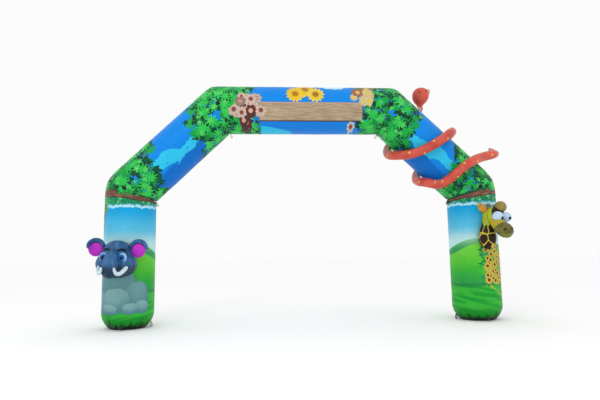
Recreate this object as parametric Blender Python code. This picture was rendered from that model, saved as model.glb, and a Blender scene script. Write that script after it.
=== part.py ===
"""Inflatable event arch with three inflated animals, in metres, +Z up.

The arch is five filled lengths of round tube, sewn together at four mitred seams, on two black
base panels. It is wide along X, with its front towards -Y. Every place below is given from the
ground midway between the legs. At the end the whole is moved, so that the origin is the middle of
the underside of its box.
"""
import math

import bmesh
import bpy
from mathutils import Matrix, Vector

# The tube of the arch
TUBE_RADIUS = 0.5
TUBE_SIDES = 32
LEG_X = 3.593              # centre of each leg, out from the middle
LOWER_SEAM_Z = 2.738       # centre line's corner at the top of a leg
UPPER_SEAM_X = 1.788       # centre line's corner at the end of the bar
BAR_Z = 4.471              # centre line of the bar
GAP = 0.0003               # between pieces that are sewn face to face
FIT = 2 * GAP              # how much larger a piece's cutter is than the piece

# Seams and corners of the tube
SEAM_DRAW = 0.018          # share of the radius that a seam draws in
SEAM_REACH = 0.05
CORNER_ROWS = (0.0, 0.02, 0.05, 0.11, 0.2, 0.34)
LOWER_CORNER = {"cut": 0.11, "reach": 0.34}
UPPER_CORNER = {"cut": 0.035, "reach": 0.2}

# Steps along the smaller tubes of the animals
HOSE_STEP = 0.05
NECK_STEP = 0.06
NEAR_EAR_STEP = 0.035

# The rounded foot
BASE_HEIGHT = 0.055
SOLE_RADIUS = 0.32
FOOT_ROUND = 0.28
FOOT_POWER = 1.5
BASE_ROWS = (0.0, 0.012, 0.03)
FOOT_ROWS = (0.09, 0.13, 0.18, 0.23, FOOT_ROUND)

# Round patches on the seams, and the webbing loops
PATCH_RADIUS = 0.04
PATCH_DEPTH = 0.008
WEBBING_WIDTH = 0.05
WEBBING_DEPTH = 0.004
LOOP_DROP = 0.1
LOOP_SPREAD = 0.036
LOOP_STEPS = 14
FOOT_LOOP_Z = 0.115        # where a foot loop leaves the seam of the base
FOOT_LOOP_LEAN = 0.4       # how far the loops at the front and the back lean out
CORNER_LOOP_LEAN = 0.35    # share of the drop that a corner loop leans towards the middle

# The elephant's head, on the front of the left leg
ELEPHANT = Vector((-3.653, -0.62, 1.355))
ELEPHANT_TILT = math.radians(2.5)
ELEPHANT_DEPTH = 0.84      # half depth of the head as a share of its half width
ELEPHANT_SIDES = 24
ELEPHANT_HEAD = (          # height over the centre, half width
    (-0.335, 0.13), (-0.29, 0.25), (-0.225, 0.325), (-0.16, 0.362), (-0.09, 0.376), (-0.03, 0.364),
    (0.08, 0.312), (0.18, 0.262), (0.25, 0.225), (0.305, 0.17), (0.34, 0.1))
ELEPHANT_CHIN = -0.352
ELEPHANT_CROWN = 0.357
TRUNK = (                  # sideways, forward, height over the centre, radius
    (0.0, 0.15, 0.16, 0.055), (0.0, 0.26, 0.095, 0.09), (0.0, 0.335, 0.0, 0.128),
    (0.0, 0.36, -0.1, 0.138), (-0.005, 0.365, -0.19, 0.132), (-0.015, 0.375, -0.27, 0.115))
TUSK = (
    (0.242, 0.19, -0.14, 0.04), (0.228, 0.3, -0.2, 0.039), (0.195, 0.39, -0.25, 0.037),
    (0.152, 0.45, -0.254, 0.033), (0.122, 0.484, -0.205, 0.027), (0.112, 0.494, -0.155, 0.018))
BROW = (
    (0.075, 0.225, 0.165, 0.012), (0.115, 0.215, 0.185, 0.018), (0.16, 0.195, 0.183, 0.018),
    (0.2, 0.165, 0.16, 0.012))
EAR_OFFSET = Vector((0.395, -0.02, 0.215))
EAR_RADIUS = 0.178
EAR_SIDES = 24
EAR_DEPTH = 0.05
EAR_RIM = 0.06             # how far the rim stands in front of the ear
EAR_RIM_INNER = (0.72, 0.57)   # inner edge of the rim at the side and at the top, of the radius
EAR_SEAM = 0.02            # between the lining's edge and the rim, of the radius
ELEPHANT_EYE = Vector((0.175, -0.235, 0.035))
ELEPHANT_EYE_SIZE = Vector((0.07, 0.05, 0.085))
ELEPHANT_EYE_LAYERS = (    # name, share of the eye's width, half depth, material
    ("elephant_iris_", 0.66, 0.012, "blue cloth"), ("elephant_pupil_", 0.4, 0.02, "dark cloth"))
ELEPHANT_SQUINT = 0.008    # how far the ring of the eye sits in and down from its middle
IRIS_SINK = 0.004

# The giraffe's neck and head, on the front of the right leg
GIRAFFE_SKULL = Vector((3.775, -0.665, 2.1))
GIRAFFE_SKULL_SIZE = Vector((0.205, 0.165, 0.205))
GIRAFFE_TURN = math.radians(20)
NECK = (                   # x, y, z, radius
    (3.63, -0.6, 1.53, 0.135), (3.628, -0.6, 1.6, 0.163), (3.622, -0.604, 1.69, 0.172),
    (3.628, -0.61, 1.79, 0.16), (3.643, -0.62, 1.88, 0.135), (3.652, -0.63, 1.99, 0.122),
    (3.67, -0.64, 2.13, 0.135))
MUZZLE = (
    (3.71, -0.77, 2.0, 0.105), (3.735, -0.84, 1.93, 0.12), (3.775, -0.92, 1.85, 0.14),
    (3.808, -0.985, 1.796, 0.146), (3.828, -1.03, 1.765, 0.13))
GIRAFFE_EYES = (           # centre, direction of the pupil
    ((3.742, -0.845, 2.075), (0.57, -0.75, -0.32)), ((3.945, -0.79, 2.072), (0.3, -0.9, -0.32)))
GIRAFFE_EYE_RADIUS = 0.1
PUPIL_RADIUS = 0.034
PUPIL_DEPTH = 0.016
PUPIL_SINK = 0.006
HORNS = (                  # foot and head of each knobbed horn
    ((3.672, -0.63, 2.25), (3.667, -0.64, 2.345)), ((3.83, -0.58, 2.26), (3.835, -0.57, 2.335)))
HORN_STEM = 0.023
HORN_KNOB = 0.036
NEAR_EAR = ((3.64, -0.62, 2.19, 0.04), (3.575, -0.64, 2.235, 0.072), (3.51, -0.655, 2.285, 0.078),
            (3.45, -0.665, 2.34, 0.045))
NEAR_EAR_FLATNESS = 0.5
FAR_EAR = Vector((3.875, -0.725, 2.285))
FAR_EAR_SIZE = Vector((0.13, 0.1, 0.115))

# The snake, wound round the right shoulder
SNAKE_RADIUS = 0.096
SNAKE_SIDES = 10
SNAKE_STEP = 0.095         # length of one facet of the snake's body
SNAKE_COIL = (             # degrees round the tube, distance along it, reach from its centre line
    (18, 0.54, 0.7), (48, 0.535, 0.65), (90, 0.565, 0.618), (130, 0.605, 0.618),
    (158, 0.66, 0.625), (178, 0.725, 0.65), (194, 0.79, 0.665), (207, 0.885, 0.66),
    (222, 1.01, 0.635), (240, 1.11, 0.618), (268, 1.217, 0.617), (290, 1.272, 0.617),
    (318, 1.315, 0.62), (347, 1.355, 0.622), (375, 1.395, 0.622), (414, 1.43, 0.618),
    (450, 1.455, 0.618), (486, 1.48, 0.62), (515, 1.52, 0.622), (538, 1.57, 0.64),
    (554, 1.63, 0.66), (564, 1.73, 0.66), (571, 1.83, 0.645), (582, 1.9, 0.628),
    (600, 1.928, 0.618), (634, 1.97, 0.616), (656, 2.03, 0.625), (682, 2.14, 0.665),
    (700, 2.29, 0.83), (713, 2.37, 0.94), (722, 2.385, 1.02), (727, 2.33, 1.075),
    (729, 2.26, 1.075))
SNAKE_SEAM_TURN = 622      # where the tail's length of tube is sewn on
SNAKE_NECK_RADIUS = 0.05
SNAKE_TAIL_RADIUS = 0.03
SNAKE_HEAD_X = 2.683
SNAKE_HEAD_Y = 0.25
SNAKE_HEAD = (             # height, half width
    (4.655, 0.05), (4.71, 0.078), (4.75, 0.115), (4.795, 0.15), (4.85, 0.175), (4.92, 0.187),
    (4.985, 0.18), (5.04, 0.152), (5.085, 0.1))
SNAKE_HEAD_TOP = 5.112
SNAKE_HEAD_DEPTH = 0.88    # half depth as a share of its half width
SNAKE_NECK_LEAN = -0.04    # how far the foot of the head stands from under its middle
SNAKE_EYES = ((2.815, 0.19, 5.0), (2.77, 0.36, 5.02))
SNAKE_EYE_RADIUS = 0.062

COLOURS = {                # colour, roughness
    "printed cloth": ((0.09, 0.42, 0.14, 1), 0.5),
    "leg cloth": ((0.16, 0.5, 0.2, 1), 0.5),
    "black cloth": ((0.015, 0.016, 0.018, 1), 0.55),
    "black webbing": ((0.01, 0.01, 0.012, 1), 0.75),
    "blue grey cloth": ((0.075, 0.14, 0.25, 1), 0.5),
    "magenta cloth": ((0.6, 0.05, 0.55, 1), 0.5),
    "ivory cloth": ((0.75, 0.85, 0.88, 1), 0.45),
    "blue cloth": ((0.02, 0.12, 0.4, 1), 0.4),
    "dark cloth": ((0.008, 0.008, 0.012, 1), 0.4),
    "yellow green cloth": ((0.42, 0.45, 0.03, 1), 0.5),
    "olive cloth": ((0.27, 0.25, 0.07, 1), 0.5),
    "red cloth": ((0.6, 0.08, 0.05, 1), 0.45),
    "cream cloth": ((0.75, 0.6, 0.4, 1), 0.45),
}


def clear_scene():
    for old in list(bpy.data.objects):
        bpy.data.objects.remove(old, do_unlink=True)


def cloth(name):
    """The material of this name, made on its first use."""
    material = bpy.data.materials.get(name)
    if material is None:
        colour, roughness = COLOURS[name]
        material = bpy.data.materials.new(name)
        material.use_nodes = True
        shader = material.node_tree.nodes["Principled BSDF"]
        shader.inputs["Base Color"].default_value = colour
        shader.inputs["Roughness"].default_value = roughness
        shader.inputs["Metallic"].default_value = 0.0
    return material


def add_object(name, mesh, material):
    piece = bpy.data.objects.new(name, mesh)
    bpy.context.scene.collection.objects.link(piece)
    mesh.materials.append(cloth(material))
    return piece


def loft(name, rings, first_pole=None, last_pole=None):
    """A closed skin over equal rings of points, with a flat or a pointed cap at each end."""
    work = bmesh.new()
    rows = [[work.verts.new(point) for point in ring] for ring in rings]
    count = len(rows[0])
    for low, high in zip(rows, rows[1:]):
        for i in range(count):
            j = (i + 1) % count
            work.faces.new((low[i], low[j], high[j], high[i]))
    for row, pole in ((rows[0], first_pole), (rows[-1], last_pole)):
        if pole is None:
            work.faces.new(row)
        else:
            tip = work.verts.new(pole)
            for i in range(count):
                work.faces.new((row[i], row[(i + 1) % count], tip))
    bmesh.ops.recalc_face_normals(work, faces=work.faces)
    mesh = bpy.data.meshes.new(name)
    work.to_mesh(mesh)
    work.free()
    mesh.shade_smooth()
    mesh.set_sharp_from_angle(angle=math.radians(40))
    return mesh


def circle(centre, across, up, radius_across, radius_up, sides):
    """Points of an ellipse round a centre, in the plane of two unit vectors."""
    ring = []
    for i in range(sides):
        angle = 2 * math.pi * i / sides
        ring.append(centre + across * (radius_across * math.cos(angle))
                    + up * (radius_up * math.sin(angle)))
    return ring


def cut_with(piece, cutters):
    """Clear a piece of its neighbours, each given as a slightly larger copy."""
    for cutter in cutters:
        cutter.hide_render = True
        cutter.display_type = "WIRE"
        step = piece.modifiers.new("clear of " + cutter.name, "BOOLEAN")
        step.operation = "DIFFERENCE"
        step.solver = "EXACT"
        step.object = cutter


# The arch

def centre_line():
    """Corners of the tube's centre line, from the left foot to the end of the bar."""
    return [Vector((-LEG_X, 0, 0)), Vector((-LEG_X, 0, LOWER_SEAM_Z)),
            Vector((-UPPER_SEAM_X, 0, BAR_Z)), Vector((UPPER_SEAM_X, 0, BAR_Z))]


def foot_radius(height):
    """Radius of the rounded foot at a height over the ground."""
    if height >= FOOT_ROUND:
        return TUBE_RADIUS
    rest = 1 - height / FOOT_ROUND
    return SOLE_RADIUS + (TUBE_RADIUS - SOLE_RADIUS) * (1 - rest ** FOOT_POWER) ** (1 / FOOT_POWER)


def tube_radius(angle, distance, corner):
    """Radius of the tube near a seam, softened on the outer side of the corner."""
    draw = SEAM_DRAW * max(0.0, 1 - distance / SEAM_REACH) ** 2
    outer = max(0.0, math.cos(angle)) ** 3
    soft = corner["cut"] * outer * max(0.0, 1 - distance / corner["reach"]) ** 2
    return TUBE_RADIUS * (1 - draw - soft)


def seam_ring(seam, mitre, along, distance, corner, inward):
    """One ring of the tube, this far from a seam along every line of the tube."""
    outer = Vector((-along.z, 0, along.x))
    ring = []
    for i in range(TUBE_SIDES):
        angle = 2 * math.pi * i / TUBE_SIDES
        radius = tube_radius(angle, distance, corner)
        spoke = (outer * math.cos(angle) + Vector((0, 1, 0)) * math.sin(angle)) * radius
        slide = (GAP / 2 - inward * spoke.dot(mitre)) / along.dot(mitre)
        ring.append(seam + spoke + along * inward * (slide + distance))
    return ring


def mirrored(rings):
    return [[Vector((-point.x, point.y, point.z)) for point in ring] for ring in rings]


def leg_rings():
    foot, seam, upper, _ = centre_line()
    along = (seam - foot).normalized()
    mitre = (along + (upper - seam).normalized()).normalized()
    rings = []
    for height in (BASE_HEIGHT + GAP,) + FOOT_ROWS:
        radius = foot_radius(height)
        centre = Vector((foot.x, 0, height))
        rings.append(circle(centre, Vector((-1, 0, 0)), Vector((0, 1, 0)), radius, radius,
                            TUBE_SIDES))
    for distance in reversed(CORNER_ROWS):
        rings.append(seam_ring(seam, mitre, along, distance, LOWER_CORNER, -1))
    return rings


def shoulder_rings():
    foot, seam, upper, bar_end = centre_line()
    below = (seam - foot).normalized()
    along = (upper - seam).normalized()
    above = (bar_end - upper).normalized()
    lower_mitre = (below + along).normalized()
    upper_mitre = (along + above).normalized()
    rings = [seam_ring(seam, lower_mitre, along, distance, LOWER_CORNER, 1)
             for distance in CORNER_ROWS]
    rings += [seam_ring(upper, upper_mitre, along, distance, UPPER_CORNER, -1)
              for distance in reversed(CORNER_ROWS)]
    return rings


def bar_rings():
    _, seam, left, right = centre_line()
    along = (right - left).normalized()
    mitre = ((left - seam).normalized() + along).normalized()
    half = [seam_ring(left, mitre, along, distance, UPPER_CORNER, 1) for distance in CORNER_ROWS]
    return half + list(reversed(mirrored(half)))


def add_arch():
    add_object("leg_left", loft("leg_left", leg_rings()), "leg cloth")
    add_object("leg_right", loft("leg_right", mirrored(leg_rings())), "leg cloth")
    add_object("shoulder_left", loft("shoulder_left", shoulder_rings()), "printed cloth")
    add_object("shoulder_right", loft("shoulder_right", mirrored(shoulder_rings())),
               "printed cloth")
    add_object("bar", loft("bar", bar_rings()), "printed cloth")
    for name, x in (("base_left", -LEG_X), ("base_right", LEG_X)):
        rings = [circle(Vector((x, 0, z)), Vector((1, 0, 0)), Vector((0, 1, 0)), foot_radius(z),
                        foot_radius(z), TUBE_SIDES) for z in BASE_ROWS + (BASE_HEIGHT,)]
        add_object(name, loft(name, rings), "black cloth")


def leg_cutter(side):
    """A slightly larger copy of a leg's plain length, for the animals that lean on it."""
    x = side * LEG_X
    rings = [circle(Vector((x, 0, z)), Vector((1, 0, 0)), Vector((0, 1, 0)),
                    TUBE_RADIUS + FIT, TUBE_RADIUS + FIT, TUBE_SIDES)
             for z in (FOOT_ROUND, LOWER_SEAM_Z)]
    name = "leg_cutter_left" if side < 0 else "leg_cutter_right"
    return add_object(name, loft(name, rings), "black cloth")


# Patches and webbing loops

def add_patch(name, x, z, side):
    """A round patch on the crest of a seam, on the front (-1) or the back (1) of the tube."""
    centre = Vector((x, side * (TUBE_RADIUS + GAP), z))
    out = Vector((0, side, 0))
    rings = [circle(centre + out * (PATCH_DEPTH * depth), Vector((1, 0, 0)), Vector((0, 0, 1)),
                    PATCH_RADIUS * width, PATCH_RADIUS * width, 16)
             for depth, width in ((0, 1), (0.55, 0.98), (1, 0.8))]
    add_object(name, loft(name, rings), "black cloth")


def loop_outline(share):
    """Half spread and drop of a hanging loop of webbing, round its edge."""
    angle = 2 * math.pi * share
    drop = 0.5 - 0.5 * math.cos(angle)
    spread = math.sin(angle) * (0.35 + 0.65 * drop) / 1.3
    return spread, drop


def add_loop(name, top, out, width_axis, lean):
    """A loop of webbing that hangs from a seam: the strap runs round a drop-shaped hole."""
    down = (Vector((0, 0, -1)) + lean).normalized()
    rings = []
    for i in range(LOOP_STEPS):
        share = (i + 0.5) / LOOP_STEPS
        ring = []
        for inset, edge in ((0, -1), (0, 1), (1, 1), (1, -1)):
            spread, drop = loop_outline(share)
            spread = spread * (LOOP_SPREAD - inset * 2 * WEBBING_DEPTH)
            drop = drop * (LOOP_DROP - inset * 2 * WEBBING_DEPTH) + inset * WEBBING_DEPTH
            ring.append(top + out * (LOOP_SPREAD / 2 + GAP + spread) + down * drop
                        + width_axis * (edge * WEBBING_WIDTH / 2))
        rings.append(ring)
    work = bmesh.new()
    rows = [[work.verts.new(point) for point in ring] for ring in rings]
    for low, high in zip(rows, rows[1:] + rows[:1]):
        for i in range(4):
            j = (i + 1) % 4
            work.faces.new((low[i], low[j], high[j], high[i]))
    bmesh.ops.recalc_face_normals(work, faces=work.faces)
    mesh = bpy.data.meshes.new(name)
    work.to_mesh(mesh)
    work.free()
    add_object(name, mesh, "black webbing")


def add_patches_and_loops():
    for side, face in ((-1, "front"), (1, "back")):
        for hand, word in ((-1, "left"), (1, "right")):
            add_patch("patch_lower_%s_%s" % (word, face), hand * LEG_X, LOWER_SEAM_Z, side)
            add_patch("patch_upper_%s_%s" % (word, face), hand * UPPER_SEAM_X, BAR_Z, side)
    crease = TUBE_RADIUS * (1 - SEAM_DRAW)
    corners = centre_line()
    for hand, word in ((-1, "left"), (1, "right")):
        for level, index in (("lower", 1), ("upper", 2)):
            before = (corners[index] - corners[index - 1]).normalized()
            after = (corners[index + 1] - corners[index]).normalized()
            mitre = (before + after).normalized()
            inward = Vector((mitre.z, 0, -mitre.x))
            seam = corners[index] + inward * (crease / before.dot(mitre) + GAP)
            seam.x *= -hand
            inward.x *= -hand
            add_loop("loop_%s_%s" % (level, word), seam - Vector((0, 0, LOOP_SPREAD * 0.4)),
                     Vector((-hand, 0, 0)), Vector((0, 1, 0)),
                     Vector((-hand * CORNER_LOOP_LEAN, 0, 0)))
        reach = foot_radius(FOOT_LOOP_Z) + GAP
        for place, out in (("front", Vector((0, -1, 0))), ("back", Vector((0, 1, 0))),
                           ("inner", Vector((-hand, 0, 0)))):
            top = Vector((hand * LEG_X, 0, FOOT_LOOP_Z)) + out * reach
            add_loop("loop_foot_%s_%s" % (word, place), top, out, Vector((out.y, out.x, 0)),
                     out * (FOOT_LOOP_LEAN * abs(out.y)))


# Rounded pieces of the animals

def ball(name, centre, size, turn=None, grow=0.0, sides=16, rows=9):
    """An ellipsoid of this half size, turned about its centre."""
    turn = turn or Matrix.Identity(3)
    axes = [turn @ Vector(axis) for axis in ((1, 0, 0), (0, 1, 0), (0, 0, 1))]
    size = [half + grow for half in size]
    rings = []
    for i in range(1, rows):
        angle = math.pi * i / rows
        rings.append(circle(centre - axes[2] * (size[2] * math.cos(angle)), axes[0], axes[1],
                            size[0] * math.sin(angle), size[1] * math.sin(angle), sides))
    return loft(name, rings, centre - axes[2] * size[2], centre + axes[2] * size[2])


def hose(name, stations, grow=0.0, sides=12, flat=1.0):
    """A tube through stations of place and radius, flattened from the front, round at its ends."""
    points = [Vector(place) for place, _ in stations]
    radii = [radius + grow for _, radius in stations]
    count = len(points)
    tangents = [(points[min(i + 1, count - 1)] - points[max(i - 1, 0)]).normalized()
                for i in range(count)]
    across = tangents[0].cross(Vector((0, 1, 0))).normalized()
    rings = []
    for point, tangent, radius in zip(points, tangents, radii):
        across = (across - tangent * across.dot(tangent)).normalized()
        rings.append(circle(point, across, tangent.cross(across), radius, radius * flat, sides))
    first_caps, first_pole = rounded_end(rings[0], points[0], -tangents[0], radii[0])
    last_caps, last_pole = rounded_end(rings[-1], points[-1], tangents[-1], radii[-1])
    return loft(name, first_caps[::-1] + rings + last_caps, first_pole, last_pole)


def rounded_end(ring, centre, way, radius):
    """Rings that close a tube with a rounded end, and its pole."""
    caps = [[centre + (point - centre) * width + way * (radius * out) for point in ring]
            for width, out in ((0.9, 0.3), (0.55, 0.56))]
    return caps, centre + way * (radius * 0.64)


def smooth_stations(rows, step):
    """Stations at an even spacing on a smooth curve through rows of place and radius."""
    fine = []
    for i in range(len(rows) - 1):
        quad = [rows[max(i - 1, 0)], rows[i], rows[i + 1], rows[min(i + 2, len(rows) - 1)]]
        for k in range(8):
            t = k / 8
            weights = ((-t + 2 * t * t - t ** 3) / 2, (2 - 5 * t * t + 3 * t ** 3) / 2,
                       (t + 4 * t * t - 3 * t ** 3) / 2, (-t * t + t ** 3) / 2)
            place = sum((row[0] * weight for row, weight in zip(quad, weights)), Vector())
            fine.append((place, sum(row[1] * weight for row, weight in zip(quad, weights))))
    fine.append(rows[-1])
    lengths = [0.0]
    for (one, _), (two, _) in zip(fine, fine[1:]):
        lengths.append(lengths[-1] + (two - one).length)
    count = max(2, round(lengths[-1] / step))
    stations = []
    k = 0
    for i in range(count + 1):
        wanted = lengths[-1] * i / count
        while k < len(lengths) - 2 and lengths[k + 1] < wanted:
            k += 1
        part = (wanted - lengths[k]) / (lengths[k + 1] - lengths[k])
        stations.append((fine[k][0].lerp(fine[k + 1][0], part),
                         fine[k][1] + (fine[k + 1][1] - fine[k][1]) * part))
    return stations


# The elephant

def on_elephant(sideways, forward, height, hand=1):
    """A place given from the middle of the elephant's head, on its right or left side."""
    local = Vector((hand * sideways, -forward, height))
    return ELEPHANT + Matrix.Rotation(ELEPHANT_TILT, 3, "Y") @ local


def elephant_skin(name, grow=0.0):
    rings = []
    for height, half_width in ELEPHANT_HEAD:
        ring = []
        for i in range(ELEPHANT_SIDES):
            angle = 2 * math.pi * i / ELEPHANT_SIDES
            ring.append(on_elephant((half_width + grow) * math.cos(angle),
                                    (half_width * ELEPHANT_DEPTH + grow) * math.sin(angle),
                                    height))
        rings.append(ring)
    return loft(name, rings, on_elephant(0, 0, ELEPHANT_CHIN - grow),
                on_elephant(0, 0, ELEPHANT_CROWN + grow))


def elephant_hose(name, rows, hand=1, grow=0.0, sides=12):
    stations = [(on_elephant(row[0], row[1], row[2], hand), row[3]) for row in rows]
    return hose(name, smooth_stations(stations, HOSE_STEP), grow, sides)


def ear_ring(centre, radius_at, depth_at):
    """One ring of an ear, its radius and its depth given by the height on the ear, -1 to 1."""
    ring = []
    for i in range(EAR_SIDES):
        angle = 2 * math.pi * i / EAR_SIDES
        rise = math.sin(angle)
        radius = EAR_RADIUS * radius_at(rise)
        ring.append(centre + Vector((radius * math.cos(angle), depth_at(rise), radius * rise)))
    return ring


def rim_inner(rise):
    side, top = EAR_RIM_INNER
    return side + (top - side) * max(0.0, rise)


def ear_shell(name, centre):
    """The ear itself: a raised rim over the upper half, and a small plate below."""
    def outline(share):
        return lambda rise: share * (1 - 0.4 * min(1.0, max(0.0, -2 * rise)))

    def rim(share):
        return lambda rise: -EAR_RIM * share * min(1.0, max(0.0, 4 * rise))

    rings = [ear_ring(centre, outline(share), lambda rise, back=back: EAR_DEPTH * back)
             for share, back in ((0.5, 1.0), (0.85, 0.75), (1.0, 0.2))]
    rings += [ear_ring(centre, outline(share), rim(depth))
              for share, depth in ((1.0, 0.5), (0.93, 0.95), (0.8, 1.0))]

    def inner(rise):
        return rim_inner(rise) * (1 - 0.4 * min(1.0, max(0.0, -2 * rise)))

    rings += [ear_ring(centre, inner, rim(0.6)), ear_ring(centre, inner, rim(0.0))]
    return loft(name, rings, centre + Vector((0, EAR_DEPTH * 1.05, 0)), centre)


def ear_lining(name, centre):
    """The lining: under the rim above, and hanging free below."""
    def outline(share):
        def radius(rise):
            if rise > -0.1:
                return share * (rim_inner(rise) - EAR_SEAM)
            return share * (0.8 + 0.18 * rise * rise)
        return radius

    rings = [ear_ring(centre, outline(share), lambda rise, out=out: -GAP - EAR_RIM * out)
             for share, out in ((1.0, 0.0), (0.98, 0.2), (0.8, 0.5), (0.45, 0.68))]
    return loft(name, rings, None, centre + Vector((0, -EAR_RIM * 0.75, 0)))


def add_elephant():
    head = add_object("elephant_head", elephant_skin("elephant_head"), "blue grey cloth")
    leg = leg_cutter(-1)
    cut_with(head, [leg])
    skin = add_object("elephant_cutter", elephant_skin("elephant_cutter", FIT), "black cloth")
    trunk = add_object("elephant_trunk", elephant_hose("elephant_trunk", TRUNK), "blue grey cloth")
    cut_with(trunk, [skin])
    trunk_skin = add_object("trunk_cutter", elephant_hose("trunk_cutter", TRUNK, grow=FIT),
                            "black cloth")
    for hand, word in ((-1, "left"), (1, "right")):
        name = "elephant_ear_" + word
        centre = on_elephant(EAR_OFFSET.x, -EAR_OFFSET.y, EAR_OFFSET.z, hand)
        cut_with(add_object(name, ear_shell(name, centre), "blue grey cloth"), [skin])
        name = "elephant_lining_" + word
        cut_with(add_object(name, ear_lining(name, centre), "magenta cloth"), [skin])
        name = "elephant_tusk_" + word
        tusk = add_object(name, elephant_hose(name, TUSK, hand, sides=10), "ivory cloth")
        cut_with(tusk, [skin, trunk_skin])
        name = "elephant_brow_" + word
        brow = add_object(name, elephant_hose(name, BROW, hand, sides=8), "dark cloth")
        cut_with(brow, [skin, trunk_skin])
        add_elephant_eye(word, hand, [skin, trunk_skin])


def add_elephant_eye(word, hand, skins):
    """An eye of three layers: the white, the blue ring and the dark middle."""
    centre = on_elephant(ELEPHANT_EYE.x, -ELEPHANT_EYE.y, ELEPHANT_EYE.z, hand)
    eye = add_object("elephant_eye_" + word, ball("elephant_eye_" + word, centre,
                                                  ELEPHANT_EYE_SIZE), "ivory cloth")
    cut_with(eye, skins)
    place = centre + Vector((-hand * ELEPHANT_SQUINT, -ELEPHANT_EYE_SIZE.y + IRIS_SINK,
                             -ELEPHANT_SQUINT))
    under = list(skins)
    below = ("elephant_eye_cutter_" + word, centre, ELEPHANT_EYE_SIZE)
    for prefix, share, depth, material in ELEPHANT_EYE_LAYERS:
        under.append(add_object(below[0], ball(below[0], below[1], below[2], grow=FIT),
                                "black cloth"))
        size = Vector((ELEPHANT_EYE_SIZE.x * share, depth, ELEPHANT_EYE_SIZE.z * share))
        layer = add_object(prefix + word, ball(prefix + word, place, size, sides=12, rows=6),
                           material)
        cut_with(layer, under)
        below = ("elephant_iris_cutter_" + word, place, size)


# The giraffe

def add_giraffe():
    turn = Matrix.Rotation(GIRAFFE_TURN, 3, "Z")
    neck_rows = smooth_stations([(Vector(row[:3]), row[3]) for row in NECK], NECK_STEP)
    muzzle_rows = smooth_stations([(Vector(row[:3]), row[3]) for row in MUZZLE], HOSE_STEP)

    def skull(name, grow=0.0):
        return ball(name, GIRAFFE_SKULL, GIRAFFE_SKULL_SIZE, turn, grow, 20, 12)

    head = add_object("giraffe_head", skull("giraffe_head"), "yellow green cloth")
    cut_with(head, [leg_cutter(1)])
    skull_skin = add_object("skull_cutter", skull("skull_cutter", FIT), "black cloth")
    muzzle_skin = add_object("muzzle_cutter", hose("muzzle_cutter", muzzle_rows, FIT, 16),
                             "black cloth")
    muzzle = add_object("giraffe_muzzle", hose("giraffe_muzzle", muzzle_rows, sides=16),
                        "olive cloth")
    cut_with(muzzle, [skull_skin])
    neck_skin = add_object("neck_cutter", hose("neck_cutter", neck_rows, FIT, 18), "black cloth")
    neck = add_object("giraffe_neck", hose("giraffe_neck", neck_rows, sides=18),
                      "yellow green cloth")
    cut_with(neck, [skull_skin, muzzle_skin, bpy.data.objects["leg_cutter_right"]])
    for word, (centre, look) in zip(("near", "far"), GIRAFFE_EYES):
        add_giraffe_eye(word, Vector(centre), Vector(look).normalized(),
                        [skull_skin, muzzle_skin])
    for word, (foot, top) in zip(("near", "far"), HORNS):
        foot = Vector(foot)
        top = Vector(top)
        name = "giraffe_horn_" + word
        rows = ((foot, HORN_STEM), (foot.lerp(top, 0.55), HORN_STEM),
                (foot.lerp(top, 0.8), HORN_KNOB * 0.94), (top, HORN_KNOB))
        horn = add_object(name, hose(name, rows, sides=10), "olive cloth")
        cut_with(horn, [skull_skin, neck_skin])
    add_giraffe_ears(turn, [skull_skin, neck_skin])


def add_giraffe_eye(word, centre, look, skins):
    name = "giraffe_eye_" + word
    size = Vector((GIRAFFE_EYE_RADIUS,) * 3)
    eye = add_object(name, ball(name, centre, size, sides=16, rows=10), "ivory cloth")
    cut_with(eye, skins)
    cutter = add_object(name + "_cutter", ball(name + "_cutter", centre, size, grow=FIT,
                                               sides=16, rows=10), "black cloth")
    name = "giraffe_pupil_" + word
    turn = look.to_track_quat("Z", "Y").to_matrix()
    place = centre + look * (GIRAFFE_EYE_RADIUS - PUPIL_SINK)
    pupil = add_object(name, ball(name, place, (PUPIL_RADIUS, PUPIL_RADIUS, PUPIL_DEPTH), turn,
                                  sides=12, rows=6), "dark cloth")
    cut_with(pupil, [cutter] + skins)


def add_giraffe_ears(turn, skins):
    rows = smooth_stations([(Vector(row[:3]), row[3]) for row in NEAR_EAR], NEAR_EAR_STEP)
    ear = add_object("giraffe_ear_near", hose("giraffe_ear_near", rows, flat=NEAR_EAR_FLATNESS),
                     "yellow green cloth")
    cut_with(ear, skins)
    far = add_object("giraffe_ear_far", ball("giraffe_ear_far", FAR_EAR, FAR_EAR_SIZE, turn,
                                             sides=18, rows=10), "olive cloth")
    cut_with(far, skins + [bpy.data.objects["giraffe_eye_far_cutter"]])


# The snake

def snake_rows():
    """The snake's centre line as places and radii, with the turn of each row."""
    _, _, upper, _ = centre_line()
    start = Vector((-upper.x, 0, upper.z))
    along = (Vector((LEG_X, 0, LOWER_SEAM_Z)) - start).normalized()
    outer = Vector((-along.z, 0, along.x))
    rows = []
    last = SNAKE_COIL[-1][0]
    for turn, distance, reach in SNAKE_COIL:
        angle = math.radians(turn)
        place = (start + along * distance + outer * (reach * math.cos(angle))
                 + Vector((0, 1, 0)) * (reach * math.sin(angle)))
        swell = min(1.0, (turn - SNAKE_COIL[0][0]) / 60)
        radius = SNAKE_NECK_RADIUS + (SNAKE_RADIUS - SNAKE_NECK_RADIUS) * swell
        taper = min(1.0, (last - turn) / 30) ** 0.5
        radius = SNAKE_TAIL_RADIUS + (radius - SNAKE_TAIL_RADIUS) * taper
        rows.append((turn, place, radius))
    return rows


def snake_head_centre(height):
    """Middle of the snake's head at a height: its foot leans out from under its top."""
    share = (SNAKE_HEAD_TOP - height) / (SNAKE_HEAD_TOP - SNAKE_HEAD[0][0])
    return Vector((SNAKE_HEAD_X + SNAKE_NECK_LEAN * share ** 2, SNAKE_HEAD_Y, height))


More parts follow.
